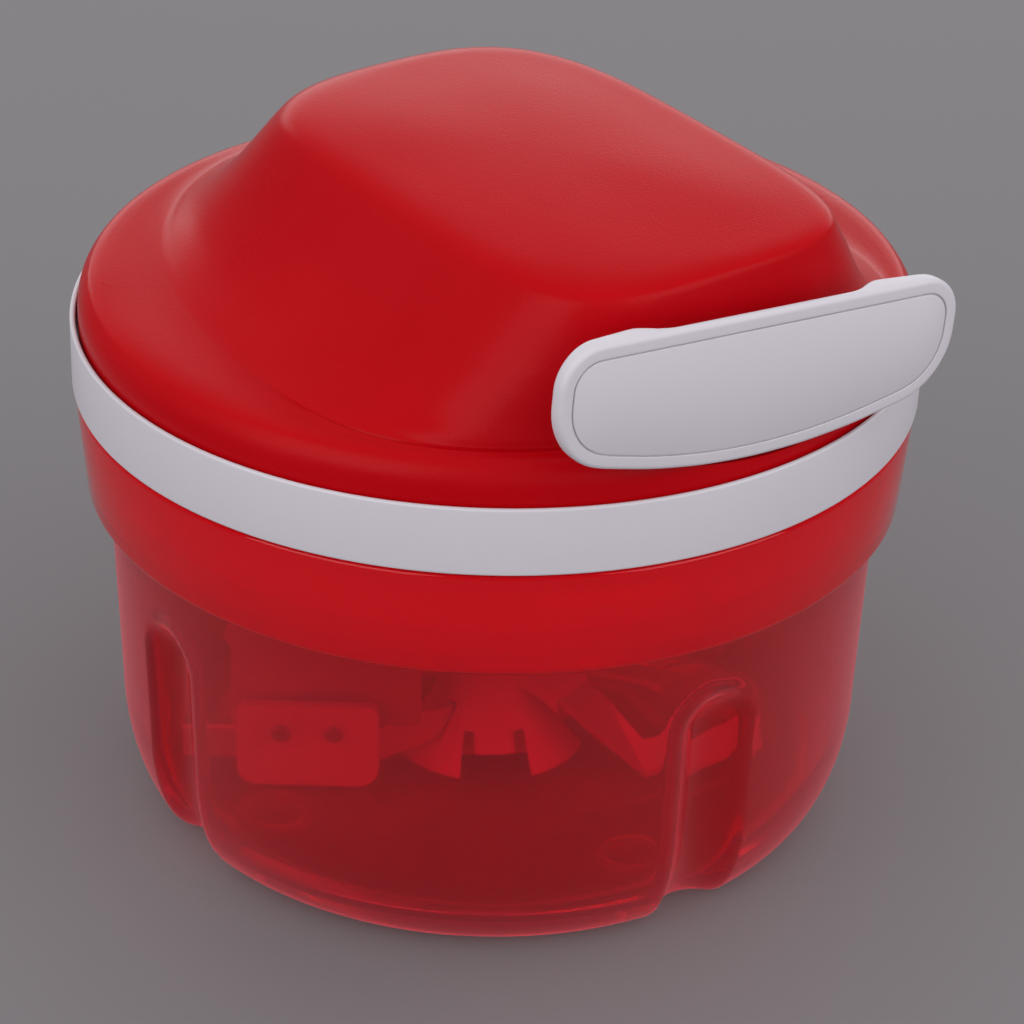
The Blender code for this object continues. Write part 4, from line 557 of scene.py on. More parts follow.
def make_cover_base():
    """The white ring with the plate, skirt and hub below it, its four lugs and the holes for the screws."""
    skirt_inner = SKIRT_RADIUS - SKIRT_WALL
    lip = RING_RADIUS - RING_LIP
    seam = (HUB_BORE_RADIUS, HUB_LOW_Z + SEAM_RISE)
    corners = [seam, (HUB_BORE_RADIUS, HUB_LOW_Z), (HUB_RADIUS, HUB_LOW_Z), (HUB_RADIUS, PLATE_LOW_Z),
               (skirt_inner, PLATE_LOW_Z), (skirt_inner, SKIRT_Z), (SKIRT_RADIUS, SKIRT_Z), (SKIRT_RADIUS, RING_Z),
               (RING_RADIUS, RING_Z), (RING_RADIUS, RIM_Z), (lip, RIM_Z), (lip, SHELF_Z), (SEAT_RADIUS, SHELF_Z),
               (SEAT_RADIUS, PLATE_TOP_Z), (HUB_RADIUS, PLATE_TOP_Z), (HUB_RADIUS, HUB_TOP_Z),
               (HUB_BORE_RADIUS, HUB_TOP_Z), seam]
    data = spun(softened(corners, RING_ROUND, 4)[:-1], COVER_STEPS, True)
    base = named("cover_ring", data, "cover", ("cover_base",), 40.0)
    half, tall = LUG_LENGTH * 0.5, LUG_HEIGHT * 0.5
    outline = rounded([(-half, LUG_Z - tall), (half, LUG_Z - tall), (half, LUG_Z + tall), (-half, LUG_Z + tall)],
                      [tall * LUG_ROUND_SHARE] * 4, 8)
    low, high = PLATE_LOW_Z - OVERRUN, PLATE_TOP_Z + OVERRUN
    head, shank, head_top = SCREW_HEAD_RADIUS + GAP, SCREW_RADIUS + GAP, PLATE_LOW_Z + SCREW_HEAD_HEIGHT + GAP
    room = [(0.0, low), (head, low), (head, head_top), (shank, head_top), (shank, high), (0.0, high)]
    lugs, holes = [], []
    for index in range(4):
        lug = bmesh.new()
        face = lug.faces.new([lug.verts.new((point.x, LUG_SINK - SKIRT_RADIUS, point.y)) for point in outline])
        moved = bmesh.ops.extrude_face_region(lug, geom=[face])["geom"]
        bmesh.ops.translate(lug, verts=[item for item in moved if isinstance(item, bmesh.types.BMVert)],
                            vec=(0.0, -LUG_DEPTH - LUG_SINK, 0.0))
        turned(lug, QUARTER * index)
        lugs.append(named("lug", lug, None))
        hole = spun(room, 32)
        bmesh.ops.translate(hole, verts=hole.verts, vec=polar(SCREW_CIRCLE_RADIUS, QUARTER * (index + 0.5), 0.0))
        holes.append(named("screw_hole", hole, None))
    cut(base, lugs, "UNION")
    cut(base, holes)
    shaded(base.data, 40)
    return base


def refined(node, bevel):
    """A node's own mesh merged, so that its round faces shade smoothly and its edges catch the light."""
    flat, sharp, least_bevelled = math.radians(0.4), 32.0, 0.6
    data = bmesh.new()
    data.from_mesh(NODES[node].data)
    bmesh.ops.remove_doubles(data, verts=data.verts, dist=NODE_MERGE_DISTANCE)
    bmesh.ops.dissolve_limit(data, angle_limit=flat, verts=data.verts, edges=data.edges)
    if bevel:
        edges = [edge for edge in data.edges if len(edge.link_faces) == 2 and edge.calc_face_angle() > least_bevelled]
        bmesh.ops.bevel(data, geom=edges, offset=bevel, offset_type="OFFSET", segments=2, profile=0.5,
                        affect="EDGES", clamp_overlap=True, material=-1)
    return named("fine_" + node, data, BODY_OF[node], (node,), sharp)


def softer(rows, first, last):
    """Rows from first to last, each drawn towards its neighbours, so that an edge between them gets rounder."""
    for count in range(SOFT_ROUNDS):
        # The left side's edge is the roundest: the right side's gets only the first rounds.
        least = 1.0 if count < SOFT_ROUNDS // 4 else 0.0
        rows = [[here.lerp((low + high) * 0.5, 0.5 * max(least, ramp(*SOFT_SIDE, here.x)))
                 for low, here, high in zip(rows[index - 1], row, rows[index + 1])]
                if first <= index <= last else row for index, row in enumerate(rows)]
    return rows


def creased(rows, index):
    """A fine groove pressed into the skin along one row."""
    here, low, high = rows[index], rows[index - 1], rows[index + 1]
    centre = Vector((0.0, -BLOCK_MIDDLE, 0.0))
    below, floor, above = [], [], []
    for column, point in enumerate(here):
        along = here[(column + 1) % len(here)] - here[column - 1]
        outward = along.cross(high[column] - low[column]).normalized()
        if outward.dot(point - centre) < 0:
            outward.negate()
        # The groove is deepest at the front left and runs out towards the sides.
        turn = math.degrees(math.atan2(point.y, point.x)) % 360
        depth = CREASE_DEPTH * ramp(*CREASE_FADES_IN, turn) * ramp(*CREASE_FADES_OUT, turn)
        below.append(point + (low[column] - point).normalized() * CREASE_WIDTH * 0.5)
        floor.append(point - outward * depth)
        above.append(point + (high[column] - point).normalized() * CREASE_WIDTH * 0.5)
    return rows[:index] + [below, floor, above] + rows[index + 1:]


def make_housing():
    """The housing as one skin, from the middle of its ceiling down to its low edge and up to its crown."""
    inner = eased(housing_levels(HOUSING_WALL), 2)
    outer = eased(housing_levels(0.0), BETWEEN_LEVELS)
    crease_row = (len(RIM_LEVELS) + 2) * BETWEEN_LEVELS
    top_row = crease_row + (len(BLOCK_LEVELS) - 1) * BETWEEN_LEVELS
    outer = softer(outer, top_row - SOFT_LEVELS_BELOW * BETWEEN_LEVELS, top_row + SOFT_LEVELS_ABOVE * BETWEEN_LEVELS)
    outer = creased(outer, crease_row)
    housing = named("red_housing", skinned(inner[::-1] + outer), "cover", ("top_housing",), 30.0)
    hole_end = RIM_RADIUS + OVERRUN
    cut(housing, [plate("dock_room", dock_section, None),
                  rod("boss_room", HANDLE_BOSS_RADIUS + DOCK_GAP, HANDLE_FACE - HANDLE_BOSS_DEPTH - DOCK_GAP, hole_end),
                  rod("eyelet_hole", EYELET_HOLE_RADIUS, EYELET_INNER - OVERRUN, hole_end)])
    shaded(housing.data, 30)
    return housing


def rod(name, radius, start, end):
    """A plain round tool along the cord's line, from one distance off the axis to another."""
    data = bmesh.new()
    bmesh.ops.create_cone(data, cap_ends=True, segments=48, radius1=radius, radius2=radius, depth=end - start)
    bmesh.ops.rotate(data, verts=data.verts, matrix=Matrix.Rotation(QUARTER, 3, "X"))
    bmesh.ops.translate(data, verts=data.verts, vec=(0.0, -(start + end) * 0.5, CORD_Z))
    return named(name, data, None)


def rounded(corners, rounds, steps):
    """Points of a flat outline with each corner replaced by an arc of its own radius."""
    points = []
    for index, (corner, radius) in enumerate(zip(corners, rounds)):
        here = Vector(corner)
        back = (Vector(corners[index - 1]) - here).normalized()
        ahead = (Vector(corners[(index + 1) % len(corners)]) - here).normalized()
        half = back.angle(ahead) * 0.5
        centre = here + (back + ahead).normalized() * (radius / math.sin(half))
        start = here + back * (radius / math.tan(half)) - centre
        end = here + ahead * (radius / math.tan(half)) - centre
        sweep = start.angle(end)
        for step in range(steps):
            share = step / (steps - 1)
            points.append(centre + start * (math.sin((1 - share) * sweep) / math.sin(sweep))
                          + end * (math.sin(share * sweep) / math.sin(sweep)))
    return points


def height_at(line, x):
    """Height of a line of points, ordered by x, at one x."""
    for low, high in zip(line, line[1:]):
        if low.x < x <= high.x:
            return between(low.y, high.y, (x - low.x) / (high.x - low.x))
    return line[0].y if x <= line[0].x else line[-1].y


def handle_line():
    """The handle's front outline in columns, as (x, z) points: its top from left to right, its bottom back."""
    side, bow_steps, arc_steps = HANDLE_HALF, 8, 24
    corners = [(-side, HANDLE_TOP_Z), (-side, HANDLE_END_Z)]
    rounds = [HANDLE_TOP_ROUND, HANDLE_LOW_ROUND]
    for step in range(1, bow_steps):
        share = 2 * step / bow_steps - 1
        corners.append((side * share, HANDLE_END_Z - HANDLE_BOW * (1 - share * share)))
        rounds.append(HANDLE_BOW_ROUND if 1 < step < bow_steps - 1 else HANDLE_BOW_END_ROUND)
    corners += [(side, HANDLE_END_Z), (side, HANDLE_TOP_Z)]
    rounds += [HANDLE_LOW_ROUND, HANDLE_TOP_ROUND]
    outline = rounded(corners, rounds, arc_steps)
    top = (outline[-arc_steps:] + outline[:arc_steps])[::-1]
    bottom = outline[arc_steps:-arc_steps]
    columns = [-side * math.cos(math.pi * step / HANDLE_COLUMNS) for step in range(HANDLE_COLUMNS + 1)]
    return [Vector((x, height_at(top, x))) for x in columns] + \
        [Vector((x, height_at(bottom, x))) for x in columns[::-1]]


def plate(name, section, body, stands_for=()):
    """A plate in the handle's outline; section(x) gives its (inset, depth) steps from its first cap to its last."""
    line = handle_line()
    count = len(line)
    loops = []
    for level in range(len(section(0.0))):
        loop = []
        for index, point in enumerate(line):
            ahead = line[(index + 1) % count] - line[index - 1]
            inset, depth = section(point.x)[level]
            moved = point + Vector((ahead.y, -ahead.x)).normalized() * inset
            loop.append(Vector((moved.x, depth - HANDLE_FACE, moved.y)))
        loops.append(loop)
    data = skinned(loops)
    for loop in (loops[0], loops[-1]):
        upper, lower = loop[:HANDLE_COLUMNS + 1], loop[:HANDLE_COLUMNS:-1]
        cap = bmesh.new()
        bmesh.ops.create_grid(cap, x_segments=HANDLE_COLUMNS, y_segments=1, size=1.0)
        for vert in cap.verts:
            column = round((vert.co.x + 1) * 0.5 * HANDLE_COLUMNS)
            vert.co = (upper if vert.co.y > 0 else lower)[column]
        add_mesh(data, cap)
    bmesh.ops.rotate(data, verts=data.verts, cent=(0.0, 0.0, CORD_Z), matrix=Matrix.Rotation(HANDLE_ROLL, 3, "Y"))
    return named(name, data, body, stands_for)


def grip_depth(x):
    """Thickness of the handle along its length: thin in the middle, fuller where the fingers hold it."""
    across = abs(x)
    if across < HANDLE_STEP_OUT:
        return between(HANDLE_THICKNESS, HANDLE_GRIP_THICKNESS, ramp(HANDLE_STEP_IN, HANDLE_STEP_OUT, across))
    return between(HANDLE_GRIP_THICKNESS, HANDLE_END_THICKNESS,
                   (across - HANDLE_STEP_OUT) / (HANDLE_HALF - HANDLE_STEP_OUT))


def shell_section(x):
    """From the floor of the face's recess, over the front edge and round the back."""
    depth = grip_depth(x)
    steps = [(FACE_INSET + LEDGE_WIDTH, FACE_THICKNESS + GAP), (FACE_INSET + LEDGE_WIDTH, LEDGE_DEPTH),
             (FACE_INSET, LEDGE_DEPTH), (FACE_INSET, RECESS_CHAMFER), (FACE_INSET - RECESS_CHAMFER, 0.0)]
    front_steps, back_steps = 5, 6
    for step in range(front_steps + 1):
        turn = QUARTER * step / front_steps
        steps.append((HANDLE_EDGE_ROUND * (1 - math.sin(turn)), HANDLE_EDGE_ROUND * (1 - math.cos(turn))))
    curve = min(HANDLE_BACK_ROUND, depth * 0.5)
    for step in range(back_steps + 1):
        turn = QUARTER * step / back_steps
        steps.append((curve * (1 - math.cos(turn)), depth - curve * (1 - math.sin(turn))))
    return steps


def face_section(x):
    """The face's panel: a thin front over a body that drops into the recess."""
    front, body = FACE_INSET + FACE_GAP, FACE_INSET + LEDGE_WIDTH + FACE_GAP
    ledge = LEDGE_DEPTH - FACE_SINK
    return [(body, FACE_THICKNESS), (body, ledge), (front, ledge), (front, FACE_ROUND),
            (front + FACE_ROUND * 0.4, FACE_ROUND * 0.3), (front + FACE_ROUND, 0.0)]


def dock_section(x):
    """The room for the handle in the housing's front, open to the outside."""
    return [(-DOCK_GAP, -OVERRUN), (-DOCK_GAP, grip_depth(x) + DOCK_GAP)]


def make_handle():
    shell = plate("pull_handle", shell_section, "handle", ("handle_shell",))
    cut(shell, [rod("boss", HANDLE_BOSS_RADIUS, HANDLE_FACE - HANDLE_BOSS_DEPTH, HANDLE_FACE - HANDLE_BOSS_TOP)],
        "UNION")
    floor = HANDLE_FACE - FACE_THICKNESS
    cut(shell, [rod("knot_pocket", KNOT_RADIUS + GAP, floor - KNOT_LENGTH - 2 * GAP, floor),
                rod("cord_bore", EYELET_BORE, CORD_BEND_RADIUS, floor)])
    shaded(shell.data, 35)
    return shell, plate("handle_panel", face_section, "handle", ("handle_face",))


def tube_rows(path):
    """Rings of points round a path, each turned as little as may be from the last, closed at both ends."""
    rows, side = [], None
    for index, point in enumerate(path):
        ahead = (path[min(index + 1, len(path) - 1)] - path[max(index - 1, 0)]).normalized()
        side = ahead.orthogonal().normalized() if side is None else (side - ahead * side.dot(ahead)).normalized()
        up = ahead.cross(side)
        turns = [math.tau * step / CORD_SIDES for step in range(CORD_SIDES)]
        rows.append([point + side * (math.cos(turn) * CORD_RADIUS) + up * (math.sin(turn) * CORD_RADIUS)
                     for turn in turns])
    return [[path[0]] * CORD_SIDES] + rows + [[path[-1]] * CORD_SIDES]


def run_lengths(path):
    """How far along a path each of its points lies."""
    lengths = [0.0]
    for low, high in zip(path, path[1:]):
        lengths.append(lengths[-1] + (high - low).length)
    return lengths


def cord_start():
    """Where the cord leaves the winding, and the way it goes from there to the eyelet."""
    leave = -QUARTER - math.acos(CORD_WIND_RADIUS / CORD_BEND_RADIUS)
    start = polar(CORD_WIND_RADIUS, leave, CORD_WIND_TOP_Z)
    wall = Vector((0.0, -CORD_BEND_RADIUS, CORD_Z))
    return leave, start, wall, (wall - start).normalized()


def make_winding():
    """Two and a half turns on the drum, going down from where the cord leaves it."""
    leave, start, _, way = cord_start()
    path = [start + way * CORD_RADIUS]
    steps = int(CORD_TURN_STEPS * CORD_TURNS)
    for step in range(steps + 1):
        wound = math.tau * CORD_TURNS * step / steps
        path.append(polar(CORD_WIND_RADIUS, leave - wound, CORD_WIND_TOP_Z - CORD_PITCH * wound / math.tau))
    lengths = run_lengths(path)
    data = skinned(tube_rows(path), [lengths[0]] + lengths + [lengths[-1]])
    winding = named("braided_winding", data, "reel", ("cord_winding",), 60.0)
    return winding


def make_lead():
    """From the drum through the eyelet to the knot; what the handle pulls out is spread through the eyelet."""
    _, start, wall, way = cord_start()
    run_steps, bend_steps, pull_steps = 24, 12, 80
    low, high = wall - way * CORD_BEND_LENGTH, wall + Vector((0.0, -CORD_BEND_LENGTH, 0.0))
    end = Vector((0.0, -CORD_END, CORD_Z))
    path = [(start + way * (CORD_RADIUS + GAP)).lerp(low, step / run_steps) for step in range(run_steps)]
    path += [bent(low, wall, high, step / bend_steps) for step in range(bend_steps)]
    path += [high.lerp(end, step / pull_steps) for step in range(pull_steps + 1)]
    lengths = run_lengths(path)
    pulled = [length + CORD_STROKE * ramp(CORD_PULL_FROM, CORD_END, -point.y) for point, length in zip(path, lengths)]
    data = skinned(tube_rows(path), [pulled[0]] + pulled + [pulled[-1]])
    lead = named("braided_lead", data, None, ("cord_lead",), 60.0)
    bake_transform(lead)
    return lead


def node_group(name, inputs, outputs):
    """A shader node group with named sockets, and its inner input and output nodes."""
    group = bpy.data.node_groups.new(name, "ShaderNodeTree")
    for label, kind, value in inputs:
        socket = group.interface.new_socket(label, in_out="INPUT", socket_type=kind)
        if value is not None:
            socket.default_value = value
    for label, kind in outputs:
        group.interface.new_socket(label, in_out="OUTPUT", socket_type=kind)
    return group, group.nodes.new("NodeGroupInput"), group.nodes.new("NodeGroupOutput")


def noise(nodes, links, vector, scale, detail=3.0, roughness=0.5):
    texture = nodes.new("ShaderNodeTexNoise")
    texture.inputs["Scale"].default_value = scale
    texture.inputs["Detail"].default_value = detail
    texture.inputs["Roughness"].default_value = roughness
    links.new(vector, texture.inputs["Vector"])
    return texture.outputs["Fac"]


def set_or_link(links, value, socket):
    """Give a socket a number, or join it to another node's output."""
    if isinstance(value, (int, float)):
        socket.default_value = value
    else:
        links.new(value, socket)


def spread(nodes, links, value, low, high, new_low, new_high):
    """A value carried from one range to another."""
    remap = nodes.new("ShaderNodeMapRange")
    for label, number in (("From Min", low), ("From Max", high), ("To Min", new_low), ("To Max", new_high)):
        set_or_link(links, number, remap.inputs[label])
    links.new(value, remap.inputs["Value"])
    return remap.outputs["Result"]


def math_node(nodes, links, operation, *values):
    step = nodes.new("ShaderNodeMath")
    step.operation = operation
    for index, value in enumerate(values):
        set_or_link(links, value, step.inputs[index])
    return step.outputs["Value"]


SCRATCH_WAYS = ((0.4, 26.0), (1.5, 19.0), (2.5, 31.0))
CORD_STRANDS = 4
CORD_BRAIDS_PER_METRE = 450


def grain_group():
    """Fine spark-eroded grain of a mould, as a height and a roughness shift."""
    group, given, put = node_group(
        "moulded_grain",
        [("Vector", "NodeSocketVector", None), ("Fineness", "NodeSocketFloat", 2600.0)],
        [("Height", "NodeSocketFloat"), ("Patch", "NodeSocketFloat")])
    nodes, links = group.nodes, group.links
    fine = nodes.new("ShaderNodeTexNoise")
    fine.inputs["Detail"].default_value = 2.0
    links.new(given.outputs["Vector"], fine.inputs["Vector"])
    links.new(given.outputs["Fineness"], fine.inputs["Scale"])
    pits = nodes.new("ShaderNodeTexVoronoi")
    links.new(given.outputs["Vector"], pits.inputs["Vector"])
    links.new(given.outputs["Fineness"], pits.inputs["Scale"])
    height = math_node(nodes, links, "MULTIPLY_ADD", pits.outputs["Distance"], 0.6, fine.outputs["Fac"])
    links.new(height, put.inputs["Height"])
    links.new(noise(nodes, links, given.outputs["Vector"], 55.0, 4.0), put.inputs["Patch"])
    return group


def wear_group():
    """Hairline scratches and faint smears from handling, as masks."""
    group, given, put = node_group(
        "handling_marks",
        [("Vector", "NodeSocketVector", None), ("Amount", "NodeSocketFloat", 0.3)],
        [("Scratches", "NodeSocketFloat"), ("Smears", "NodeSocketFloat")])
    nodes, links = group.nodes, group.links
    hairs = []
    for turn, stretch in SCRATCH_WAYS:
        place = nodes.new("ShaderNodeMapping")
        place.inputs["Rotation"].default_value = (turn * 0.7, turn, turn * 1.3)
        place.inputs["Scale"].default_value = (1.0, stretch, stretch)
        links.new(given.outputs["Vector"], place.inputs["Vector"])
        line = noise(nodes, links, place.outputs["Vector"], 55.0, 1.0)
        hairs.append(spread(nodes, links, line, 0.70, 0.76, 0.0, 1.0))
    lines = math_node(nodes, links, "MAXIMUM", hairs[0], hairs[1])
    lines = math_node(nodes, links, "MAXIMUM", lines, hairs[2])
    lines = math_node(nodes, links, "MULTIPLY", lines, given.outputs["Amount"])
    links.new(lines, put.inputs["Scratches"])
    smear = noise(nodes, links, given.outputs["Vector"], 32.0, 5.0, 0.6)
    smear = spread(nodes, links, smear, 0.45, 0.75, 0.0, 1.0)
    smear = math_node(nodes, links, "MULTIPLY", smear, given.outputs["Amount"])
    links.new(smear, put.inputs["Smears"])
    return group


GRAIN = grain_group()
WEAR = wear_group()


def finish(name, colour, roughness, grain=0.0, fineness=2600.0, wear=0.3, shift=0.05, drift=0.04, **settings):
    """A Principled material whose colour, roughness and surface vary as the real finish does.

    grain is the height of its mould's grain and shift how far its roughness varies; drift is its colour's.
    """
    material = bpy.data.materials.new(name)
    material.use_nodes = True
    nodes, links = material.node_tree.nodes, material.node_tree.links
    shader = nodes["Principled BSDF"]
    for label, value in settings.items():
        shader.inputs[label.replace("_", " ")].default_value = value
    where = nodes.new("ShaderNodeTexCoord").outputs["Object"]
    grains = nodes.new("ShaderNodeGroup")
    grains.node_tree = GRAIN
    grains.inputs["Fineness"].default_value = fineness
    links.new(where, grains.inputs["Vector"])
    marks = nodes.new("ShaderNodeGroup")
    marks.node_tree = WEAR
    marks.inputs["Amount"].default_value = wear
    links.new(where, marks.inputs["Vector"])
    mix = nodes.new("ShaderNodeMix")
    mix.data_type = "RGBA"
    mix.inputs["A"].default_value = (*[c * (1 - drift) for c in colour], 1.0)
    mix.inputs["B"].default_value = (*[min(1.0, c * (1 + drift) + drift * 0.02) for c in colour], 1.0)
    links.new(grains.outputs["Patch"], mix.inputs["Factor"])
    links.new(mix.outputs["Result"], shader.inputs["Base Color"])
    rough = spread(nodes, links, grains.outputs["Patch"], 0.3, 0.7, roughness - shift, roughness + shift)
    rough = math_node(nodes, links, "MULTIPLY_ADD", marks.outputs["Smears"], shift, rough)
    links.new(rough, shader.inputs["Roughness"])
    bump = nodes.new("ShaderNodeBump")
    bump.inputs["Strength"].default_value = 1.0
    bump.inputs["Distance"].default_value = max(grain, 1e-6)
    height = math_node(nodes, links, "SUBTRACT", grains.outputs["Height"], marks.outputs["Scratches"])
    links.new(height, bump.inputs["Height"])
    links.new(bump.outputs["Normal"], shader.inputs["Normal"])
    return material


def let_light_in(material, share):
    """Lamps shine through the tinted wall, less the given share that it keeps back."""
    nodes, links = material.node_tree.nodes, material.node_tree.links
    rays = nodes.new("ShaderNodeLightPath").outputs["Is Shadow Ray"]
    links.new(spread(nodes, links, rays, 0.0, 1.0, 1.0, share), nodes["Principled BSDF"].inputs["Alpha"])


def braided(material):
    """Two crossing sets of strands along the cord's own UV map, in place of the moulded grain: as bumps, and as a
    painted shade that darkens the grooves between them.
    """
    nodes, links = material.node_tree.nodes, material.node_tree.links
    split = nodes.new("ShaderNodeSeparateXYZ")
    links.new(nodes.new("ShaderNodeUVMap").outputs["UV"], split.inputs["Vector"])
    around = math_node(nodes, links, "MULTIPLY", split.outputs["X"], math.tau * CORD_STRANDS)
    along = math_node(nodes, links, "MULTIPLY", split.outputs["Y"], math.tau * CORD_BRAIDS_PER_METRE)
    strands = []
    for way in ("ADD", "SUBTRACT"):
        wave = math_node(nodes, links, "SINE", math_node(nodes, links, way, around, along))
        strands.append(math_node(nodes, links, "ABSOLUTE", wave))
    height = math_node(nodes, links, "MAXIMUM", *strands)
    bump = next(node for node in nodes if node.bl_idname == "ShaderNodeBump")
    links.new(height, bump.inputs["Height"])
    # The colour follows the strands' height: lighter on their crowns, darker in the grooves, a painted shade.
    mix = next(node for node in nodes if node.bl_idname == "ShaderNodeMix")
    links.new(spread(nodes, links, height, 0.55, 1.0, 0.0, 1.0), mix.inputs["Factor"])


CLEAR_RED = finish("clear_red_plastic", (0.95, 0.002, 0.030), 0.05, 0.0000015, 900.0, 0.25, 0.02, 0.02,
                   Transmission_Weight=0.93, IOR=1.49, Sheen_Weight=0.85, Sheen_Roughness=0.45,
                   Sheen_Tint=(1.0, 0.16, 0.19, 1.0))
# A copy of the clear red for the collar, more diffuse and brighter: painted light.
COLLAR_RED_PAINTED_LIGHT = finish("clear_red_collar_painted_light", (1.0, 0.0005, 0.012), 0.05, 0.0000015, 900.0, 0.25, 0.02, 0.02,
                    Transmission_Weight=0.55, IOR=1.49, Specular_IOR_Level=0.35)
for clear in (CLEAR_RED, COLLAR_RED_PAINTED_LIGHT):
    let_light_in(clear, 0.08)
RED = finish("satin_red_plastic", (0.50, 0.0002, 0.0040), 0.30, 0.000018, 2400.0, 0.25, 0.03, 0.05, IOR=1.5,
             Specular_IOR_Level=0.09)
WHITE = finish("white_plastic", (0.70, 0.665, 0.715), 0.40, 0.000006, 2800.0, 0.3, 0.04, 0.02, IOR=1.5)
GREY = finish("grey_moulding", (0.20, 0.20, 0.21), 0.5, 0.00001, 2200.0, 0.3, 0.05, 0.05)
SEAL = finish("red_silicone", (0.42, 0.008, 0.012), 0.55, 0.00001, 1800.0, 0.1, 0.05, 0.05)
INSERT_WHITE = finish("insert_white", (0.88, 0.86, 0.88), 0.45, 0.000006, 2600.0, 0.4, 0.05, 0.02, IOR=1.5)
BLADE_STEEL = finish("blade_steel", (0.80, 0.79, 0.79), 0.40, 0.000004, 1500.0, 0.6, 0.06, 0.03, Metallic=0.5)
STEEL = finish("brushed_steel", (0.78, 0.77, 0.76), 0.42, 0.000004, 1500.0, 0.5, 0.06, 0.03, Metallic=1.0)
# The cord's large colour drift carries the braid's painted shade between the strands.
CORD = finish("braided_cord", (0.70, 0.68, 0.64), 0.8, 0.00012, 900.0, 0.2, 0.05, 0.14)
braided(CORD)

SLOT_FINISH = {"clear_red": CLEAR_RED, "red_cover": RED, "white": WHITE, "grey_moulding": GREY, "seal": SEAL,
               "steel": STEEL, "cord": CORD}


def paint(piece, slot):
    """Give a piece the finish of one of the record's material slots."""
    piece.data.materials.clear()
    piece.data.materials.append(SLOT_FINISH[slot])


CAMERA_TURN = math.radians(-35.0)
CAMERA_PITCH, CAMERA_YAW, CAMERA_ROLL = 0.5110, 0.0064, 0.0274
CAMERA_PLACE = (0.0, -0.4459962, 0.2259535 + RING_Z)
CAMERA_LENS = 123.25
CAMERA_SENSOR = 36.0
LAMP_SIZE = (1.0, 0.8)
FLOOR_SIZE = 2.0
FLOOR_DROP = 0.0002
FLOOR_COLOUR = (0.212, 0.202, 0.209, 1.0)
STUDIO_COLOUR = (0.98, 0.97, 1.0, 1.0)
STUDIO_LIGHT = 0.80
STUDIO_SEEN = 0.11


def set_camera():
    """The photograph's view: 29 degrees down, from the front left of the handle."""
    turn = Matrix.Rotation(CAMERA_TURN, 3, "Z")
    pitch, yaw, roll = CAMERA_PITCH, CAMERA_YAW, CAMERA_ROLL
    ahead = Vector((math.sin(yaw) * math.cos(pitch), math.cos(yaw) * math.cos(pitch), -math.sin(pitch)))
    right = Vector((math.cos(yaw), -math.sin(yaw), 0.0))
    up = right.cross(ahead)
    side = right * math.cos(roll) + up * math.sin(roll)
    top = up * math.cos(roll) - right * math.sin(roll)
    place = Matrix((turn @ side, turn @ top, turn @ -ahead)).transposed().to_4x4()
    place.translation = turn @ Vector(CAMERA_PLACE)
    camera = bpy.data.objects.new("camera", bpy.data.cameras.new("camera"))
    camera.data.lens = CAMERA_LENS
    camera.data.sensor_width = CAMERA_SENSOR
    camera.data.sensor_fit = "HORIZONTAL"
    camera.matrix_world = place
    bpy.context.scene.collection.objects.link(camera)
    bpy.context.scene.camera = camera


def area_light(name, place, aim, size, power):
    """A soft white lamp that faces a point."""
    lamp = bpy.data.lights.new(name, "AREA")
    lamp.shape = "RECTANGLE"
    lamp.size, lamp.size_y = size
    lamp.energy = power
    item = bpy.data.objects.new(name, lamp)
    item.location = place
    item.rotation_euler = (Vector(aim) - Vector(place)).to_track_quat("-Z", "Y").to_euler()
    bpy.context.scene.collection.objects.link(item)


def make_floor():
    """A plain floor, a hair below the foot so that the two faces don't meet."""
    data = bmesh.new()
    bmesh.ops.create_grid(data, x_segments=2, y_segments=2, size=FLOOR_SIZE)
    mesh = bpy.data.meshes.new("floor")
    data.to_mesh(mesh)
    data.free()
    floor = bpy.data.objects.new("floor", mesh)
    bpy.context.scene.collection.objects.link(floor)
    floor.location = (0.0, 0.0, -FLOOR_DROP)
    material = bpy.data.materials.new("studio_floor")
    material.use_nodes = True
    shader = material.node_tree.nodes["Principled BSDF"]
    shader.inputs["Base Color"].default_value = FLOOR_COLOUR
    shader.inputs["Roughness"].default_value = 0.7
    floor.data.materials.append(material)


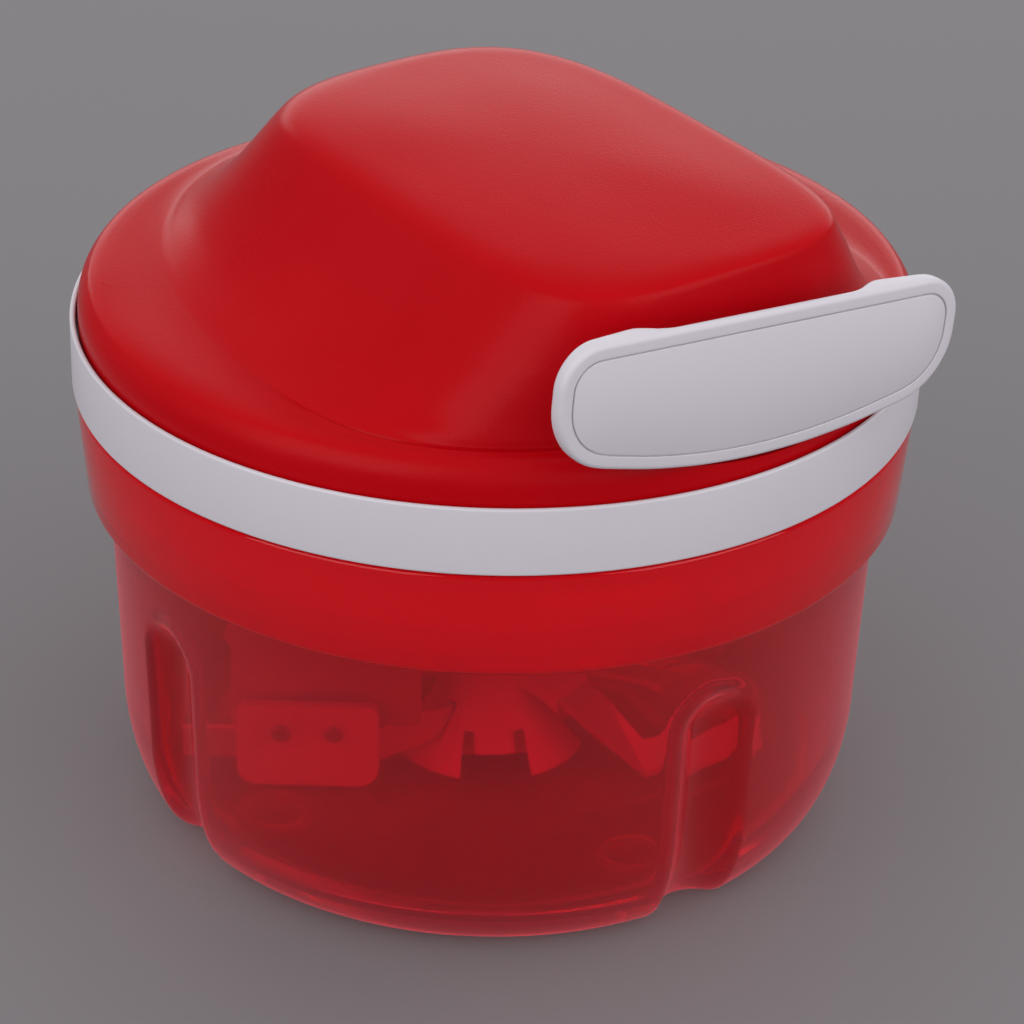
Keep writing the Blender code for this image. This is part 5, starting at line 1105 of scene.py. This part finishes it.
def set_world():
    """Even studio light, behind a darker grey that only the camera, mirrors and glass see."""
    world = bpy.data.worlds.new("studio")
    world.use_nodes = True
    nodes, links = world.node_tree.nodes, world.node_tree.links
    back = nodes["Background"]
    back.inputs["Color"].default_value = STUDIO_COLOUR
    rays = nodes.new("ShaderNodeLightPath").outputs
    seen = math_node(nodes, links, "MAXIMUM", rays["Is Camera Ray"], rays["Is Glossy Ray"])
    seen = math_node(nodes, links, "MAXIMUM", seen, rays["Is Transmission Ray"])
    links.new(spread(nodes, links, seen, 0.0, 1.0, STUDIO_LIGHT, STUDIO_SEEN), back.inputs["Strength"])
    bpy.context.scene.world = world
    bpy.context.scene.view_settings.view_transform = "Standard"


set_camera()
set_world()
make_floor()
area_light("left_key", (-1.05, -0.25, 0.65), (0.0, 0.0, 0.05), LAMP_SIZE, 3.4)
area_light("right_key", (0.45, -1.05, 0.70), (0.0, 0.0, 0.05), LAMP_SIZE, 3.4)
area_light("low_back", (0.75, 1.05, 0.32), (0.0, 0.0, 0.09), (1.8, 0.35), 4.2)

SLOTS = {part["node"]: part["material_slot"] for part in frame["record"]["subparts"]}
BODY_OF = {node: body for body, nodes in frame["record"]["behaviour"]["bodies"].items() for node in nodes}
for node_name, node in NODES.items():
    paint(node, SLOTS[node_name])
REFINED = {"insert_column": 0.0, "paddle_plate": 0.0004, "paddle_sheet": 0.0002, "paddle_arm": 0.0,
           "bent_blade": 0.0, "rear_blade": 0.0, "paddle_rivet_1": 0.0, "paddle_rivet_2": 0.0,
           "drive_socket": 0.0, "seal_ring": 0.0, "pivot_pin": 0.0}
OWN_FINISH = {"fine_insert_column": INSERT_WHITE, "fine_paddle_plate": INSERT_WHITE, "fine_bent_blade": BLADE_STEEL,
              "fine_rear_blade": BLADE_STEEL, "fine_paddle_arm": BLADE_STEEL, "fine_paddle_sheet": BLADE_STEEL}
PIECES = {"steel": [], "seal": [], "grey_moulding": [], "cord": [make_winding(), make_lead()],
          "clear_red": [make_bowl()], "red_cover": [make_housing()], "white": [make_cover_base(), *make_handle()]}
for node_name, bevel in REFINED.items():
    PIECES[SLOTS[node_name]].append(refined(node_name, bevel))
for slot, pieces in PIECES.items():
    for piece in pieces:
        paint(piece, slot)
        if piece.name in OWN_FINISH:
            piece.data.materials[0] = OWN_FINISH[piece.name]
# The bowl's collar, above its step, gets a copy of the red that lets less through and shows more of its own red:
# painted light, brighter where the white skirt behind it is lit.
bowl = PIECES["clear_red"][0]
bowl.data.materials.append(COLLAR_RED_PAINTED_LIGHT)
for face in bowl.data.polygons:
    face.material_index = int(face.center.z > STEP_Z + STEP_EDGE)
